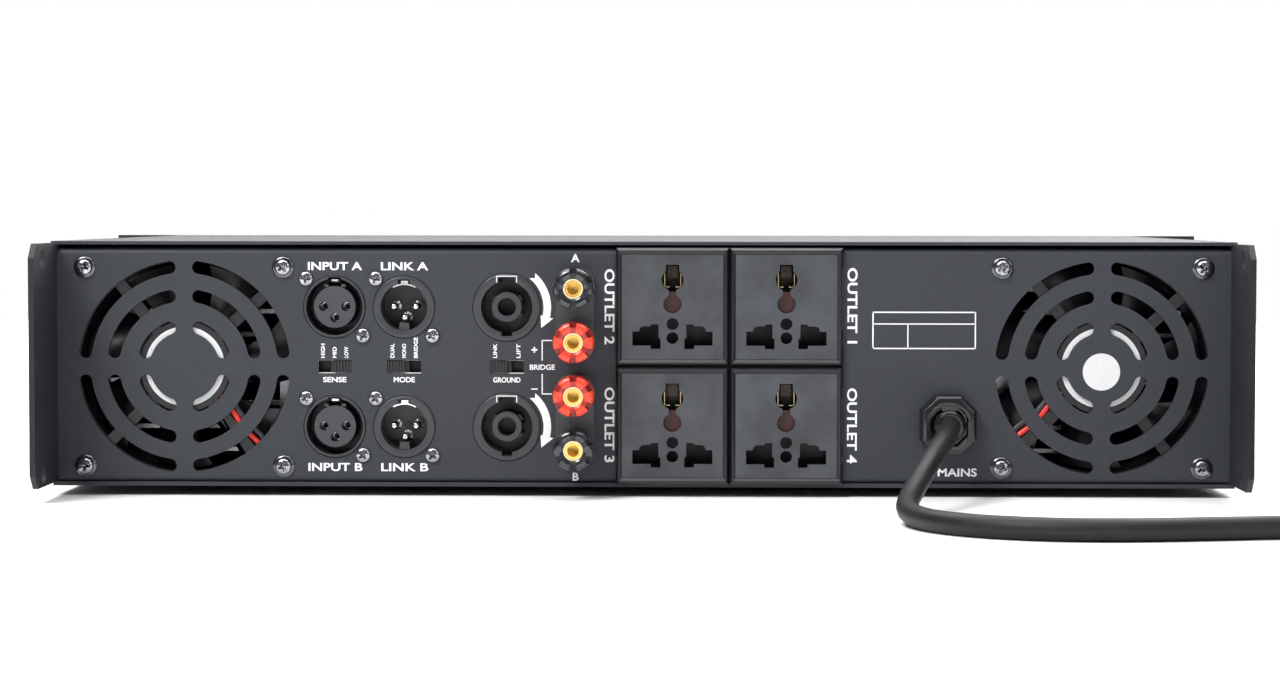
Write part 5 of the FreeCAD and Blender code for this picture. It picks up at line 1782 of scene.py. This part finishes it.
def vent_foam():
    """Perforated plate and foam behind the front slots."""
    v = middle("front_panel", FRONT)[1]
    foam = bmesh.new()
    for side in (-1, 1):
        block(foam, (side * 130 - 53, side * 130 + 53), (v - 33.5, v + 33.5), (-9.0, -6.0))
    piece("vent_foam", foam, FRONT, "chassis", ["foam"])
    bar = bmesh.new()
    block(bar, (-53.0, 53.0), (-0.45, 0.45), (-0.3, 0.3))
    model = pattern_object(bar, "screen_wire")
    spots = [(side * 130.0, v - 32.4 + 2.7 * k, -4.9) for side in (-1, 1) for k in range(25)]
    tree = scatter_tree()
    for node in tree.nodes:
        if node.bl_idname == "FunctionNodeRandomValue":
            node.inputs[3].default_value = 0.0
    wires = grown(tree, spots, {"Model": model, "Size": 1.0, "Seed": 1,
                                "Material": FINISHES["screw"]}, FRONT)
    drop(model)
    settled("vent_screen", wires, "chassis", [])


class AMP_OT_front(bpy.types.Operator):
    """Finish the front panel, its knobs, lamps, handles and rocker"""
    bl_idname = "amplifier.front"
    bl_label = "Front"

    def execute(self, context):
        rounded_copy("front_panel", "front", 0.25)
        for side in SIDES:
            rounded_copy("handle_" + side, "handle", 0.3)
        rounded_copy("led_lenses", "lamp", 0.1)
        rounded_copy("power_rocker", "slider", 0.3)
        rounded_copy("power_switch", "slider", 0.25)
        mesh = bmesh.new()
        for channel in CHANNELS:
            node = "level_knob_" + channel
            at = middle(node, FRONT)
            rounded_copy(node, "knob", 0.2)
            pointer = bmesh.new()
            top = reach(node, FRONT)
            slab(pointer, spoke(at, DIAL_START, (4.4, 12.2), 0.5), (top - 0.52, top - 0.15))
            piece("level_pointer_" + channel, pointer, FRONT, "level_" + channel, ["ink"])
            level_dial(mesh, at)
            data = lettering("LEVEL " + channel.upper(), (at[0], at[1] - 22.5), 2.4, 17.0)
            mesh.from_mesh(data)
            bpy.data.meshes.remove(data)
        piece("front_legends", mesh, FRONT, "chassis", ["ink"], angle=30.0)
        vent_foam()
        return {"FINISHED"}


# ---------------------------------------------------------------- inside
def capacitor_tops():
    """Vented aluminium tops of the reservoir capacitors."""
    low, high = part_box("capacitors")
    mesh = bmesh.new()
    radius = (high.y - low.y) / 2 / MM
    row_y = (low.y + high.y) / 2 / MM
    first = low.x / MM + radius
    pitch = ((high.x - low.x) / MM - 2 * radius) / 4
    top = high.z / MM
    for k in range(5):
        at = (first + pitch * k, row_y)
        lathe(mesh, [(0, top), (radius - 1.6, top), (radius - 1.8, top + 0.25), (0, top + 0.25)],
              at, 40)
        for angle in (0, 60, 120):
            slab(mesh, spoke(at, angle, (-7, 7), 0.2), (top + 0.2, top + 0.4))
    piece("capacitor_tops", mesh, Matrix.Scale(MM, 4), "chassis", ["sink"])


def board_parts():
    """Small parts in rows on the main board."""
    low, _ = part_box("amplifier_board")
    mesh = bmesh.new()
    level = BASE_Z / MM + 1.5 + 8.0 + 1.6
    left, near = low.x / MM + 16.0, low.y / MM + 6.0
    for row in range(3):
        for k in range(18):
            u, v = left + 10.5 * k, near + 9.0 * row
            if (k + row) % 3 == 0:
                lathe(mesh, [(0, level), (3.0, level), (3.0, level + 8), (2.6, level + 8.4),
                             (0, level + 8.4)], (u, v), 20, 0)
            else:
                block(mesh, (u - 3.2, u + 3.2), (v - 1.1, v + 1.1), (level + 0.4, level + 2.6), 1)
    piece("board_parts", mesh, Matrix.Scale(MM, 4), "chassis", ["can", "strip"],
          bevel=0.15)


class AMP_OT_inside(bpy.types.Operator):
    """Finish what stands inside the case"""
    bl_idname = "amplifier.inside"
    bl_label = "Inside"

    def execute(self, context):
        rounded_copy("transformer", "tape", 0.4)
        rounded_copy("heatsinks", "sink", 0.3)
        rounded_copy("capacitors", "can", 0.8)
        rounded_copy("case_screws", "screw", 0.08)
        capacitor_tops()
        board_parts()
        return {"FINISHED"}


# ---------------------------------------------------------------- carried-over nodes
NODE_FINISH = {
    "amplifier_board": "board", "base_pan": "case", "capacitors": "can", "case_screws": "screw",
    "connector_screws": "screw", "cord_bushing": "bushing", "fan_screws": "screw",
    "front_board": "board", "front_panel": "front", "heatsinks": "sink", "led_lenses": "lamp",
    "mains_plug": "sheath", "outlet_faces": "outlet_face", "post_base_plates": "socket",
    "post_studs": "gold", "power_rocker": "slider", "power_switch": "slider",
    "rear_panel": "case", "rubber_feet": "foot", "socket_contacts": "contact",
    "switch_bodies": "screw", "top_cover": "case", "transformer": "tape",
}
PREFIX_FINISH = {
    "fan_frame": "fan", "fan_rotor": "fan", "handle": "handle", "level_knob": "knob",
    "post_insert": "gold", "side_plate": "ear", "speaker_socket": "socket", "xlr": "socket",
    "outlet_shutter": "shutter", "outlet_": "surround", "cord": "sheath",
}
SLIDER_NODES = ("sensitivity_slider", "mode_slider", "ground_slider")
RED_POSTS = (2, 3)


def node_finish(node):
    if node in NODE_FINISH:
        return NODE_FINISH[node]
    if node in SLIDER_NODES:
        return "slider"
    if node.startswith("post_cap_"):
        return "red_cap" if int(node[-1]) in RED_POSTS else "black_cap"
    for prefix, finish in PREFIX_FINISH.items():
        if node.startswith(prefix):
            return finish
    return "sheath"


# ---------------------------------------------------------------- panel and registration
STEPS = [
    AMP_OT_finishes, AMP_OT_stage, AMP_OT_cord, AMP_OT_case, AMP_OT_screws, AMP_OT_fans,
    AMP_OT_line_sockets, AMP_OT_speaker_sockets, AMP_OT_posts, AMP_OT_switches, AMP_OT_outlets,
    AMP_OT_bushing, AMP_OT_legends, AMP_OT_front, AMP_OT_inside,
]


class AMP_PT_amplifier(bpy.types.Panel):
    """Sizes, colours and steps of the amplifier"""
    bl_idname = "AMP_PT_amplifier"
    bl_label = "Amplifier"
    bl_space_type = "VIEW_3D"
    bl_region_type = "UI"
    bl_category = "Amplifier"

    def draw(self, context):
        given = context.scene.amplifier
        for group in ("paint", "fasteners", "fans", "legends", "cord", "stage"):
            box = self.layout.box()
            box.label(text=group.capitalize())
            values = getattr(given, group)
            for name in values.bl_rna.properties.keys():
                if name not in ("rna_type", "name"):
                    box.prop(values, name)
        for step in STEPS:
            self.layout.operator(step.bl_idname)


GROUPS = [AMP_PG_paint, AMP_PG_fasteners, AMP_PG_fans, AMP_PG_legends, AMP_PG_cord,
          AMP_PG_stage, AMP_PG_all]


def register():
    for item in GROUPS + STEPS + [AMP_PT_amplifier]:
        bpy.utils.register_class(item)
    bpy.types.Scene.amplifier = PointerProperty(type=AMP_PG_all)


def unregister():
    del bpy.types.Scene.amplifier
    for item in [AMP_PT_amplifier] + STEPS[::-1] + GROUPS[::-1]:
        bpy.utils.unregister_class(item)


def main():
    register()
    for step in STEPS:
        area, name = step.bl_idname.split(".")
        getattr(getattr(bpy.ops, area), name)()


if __name__ == "__main__":
    main()
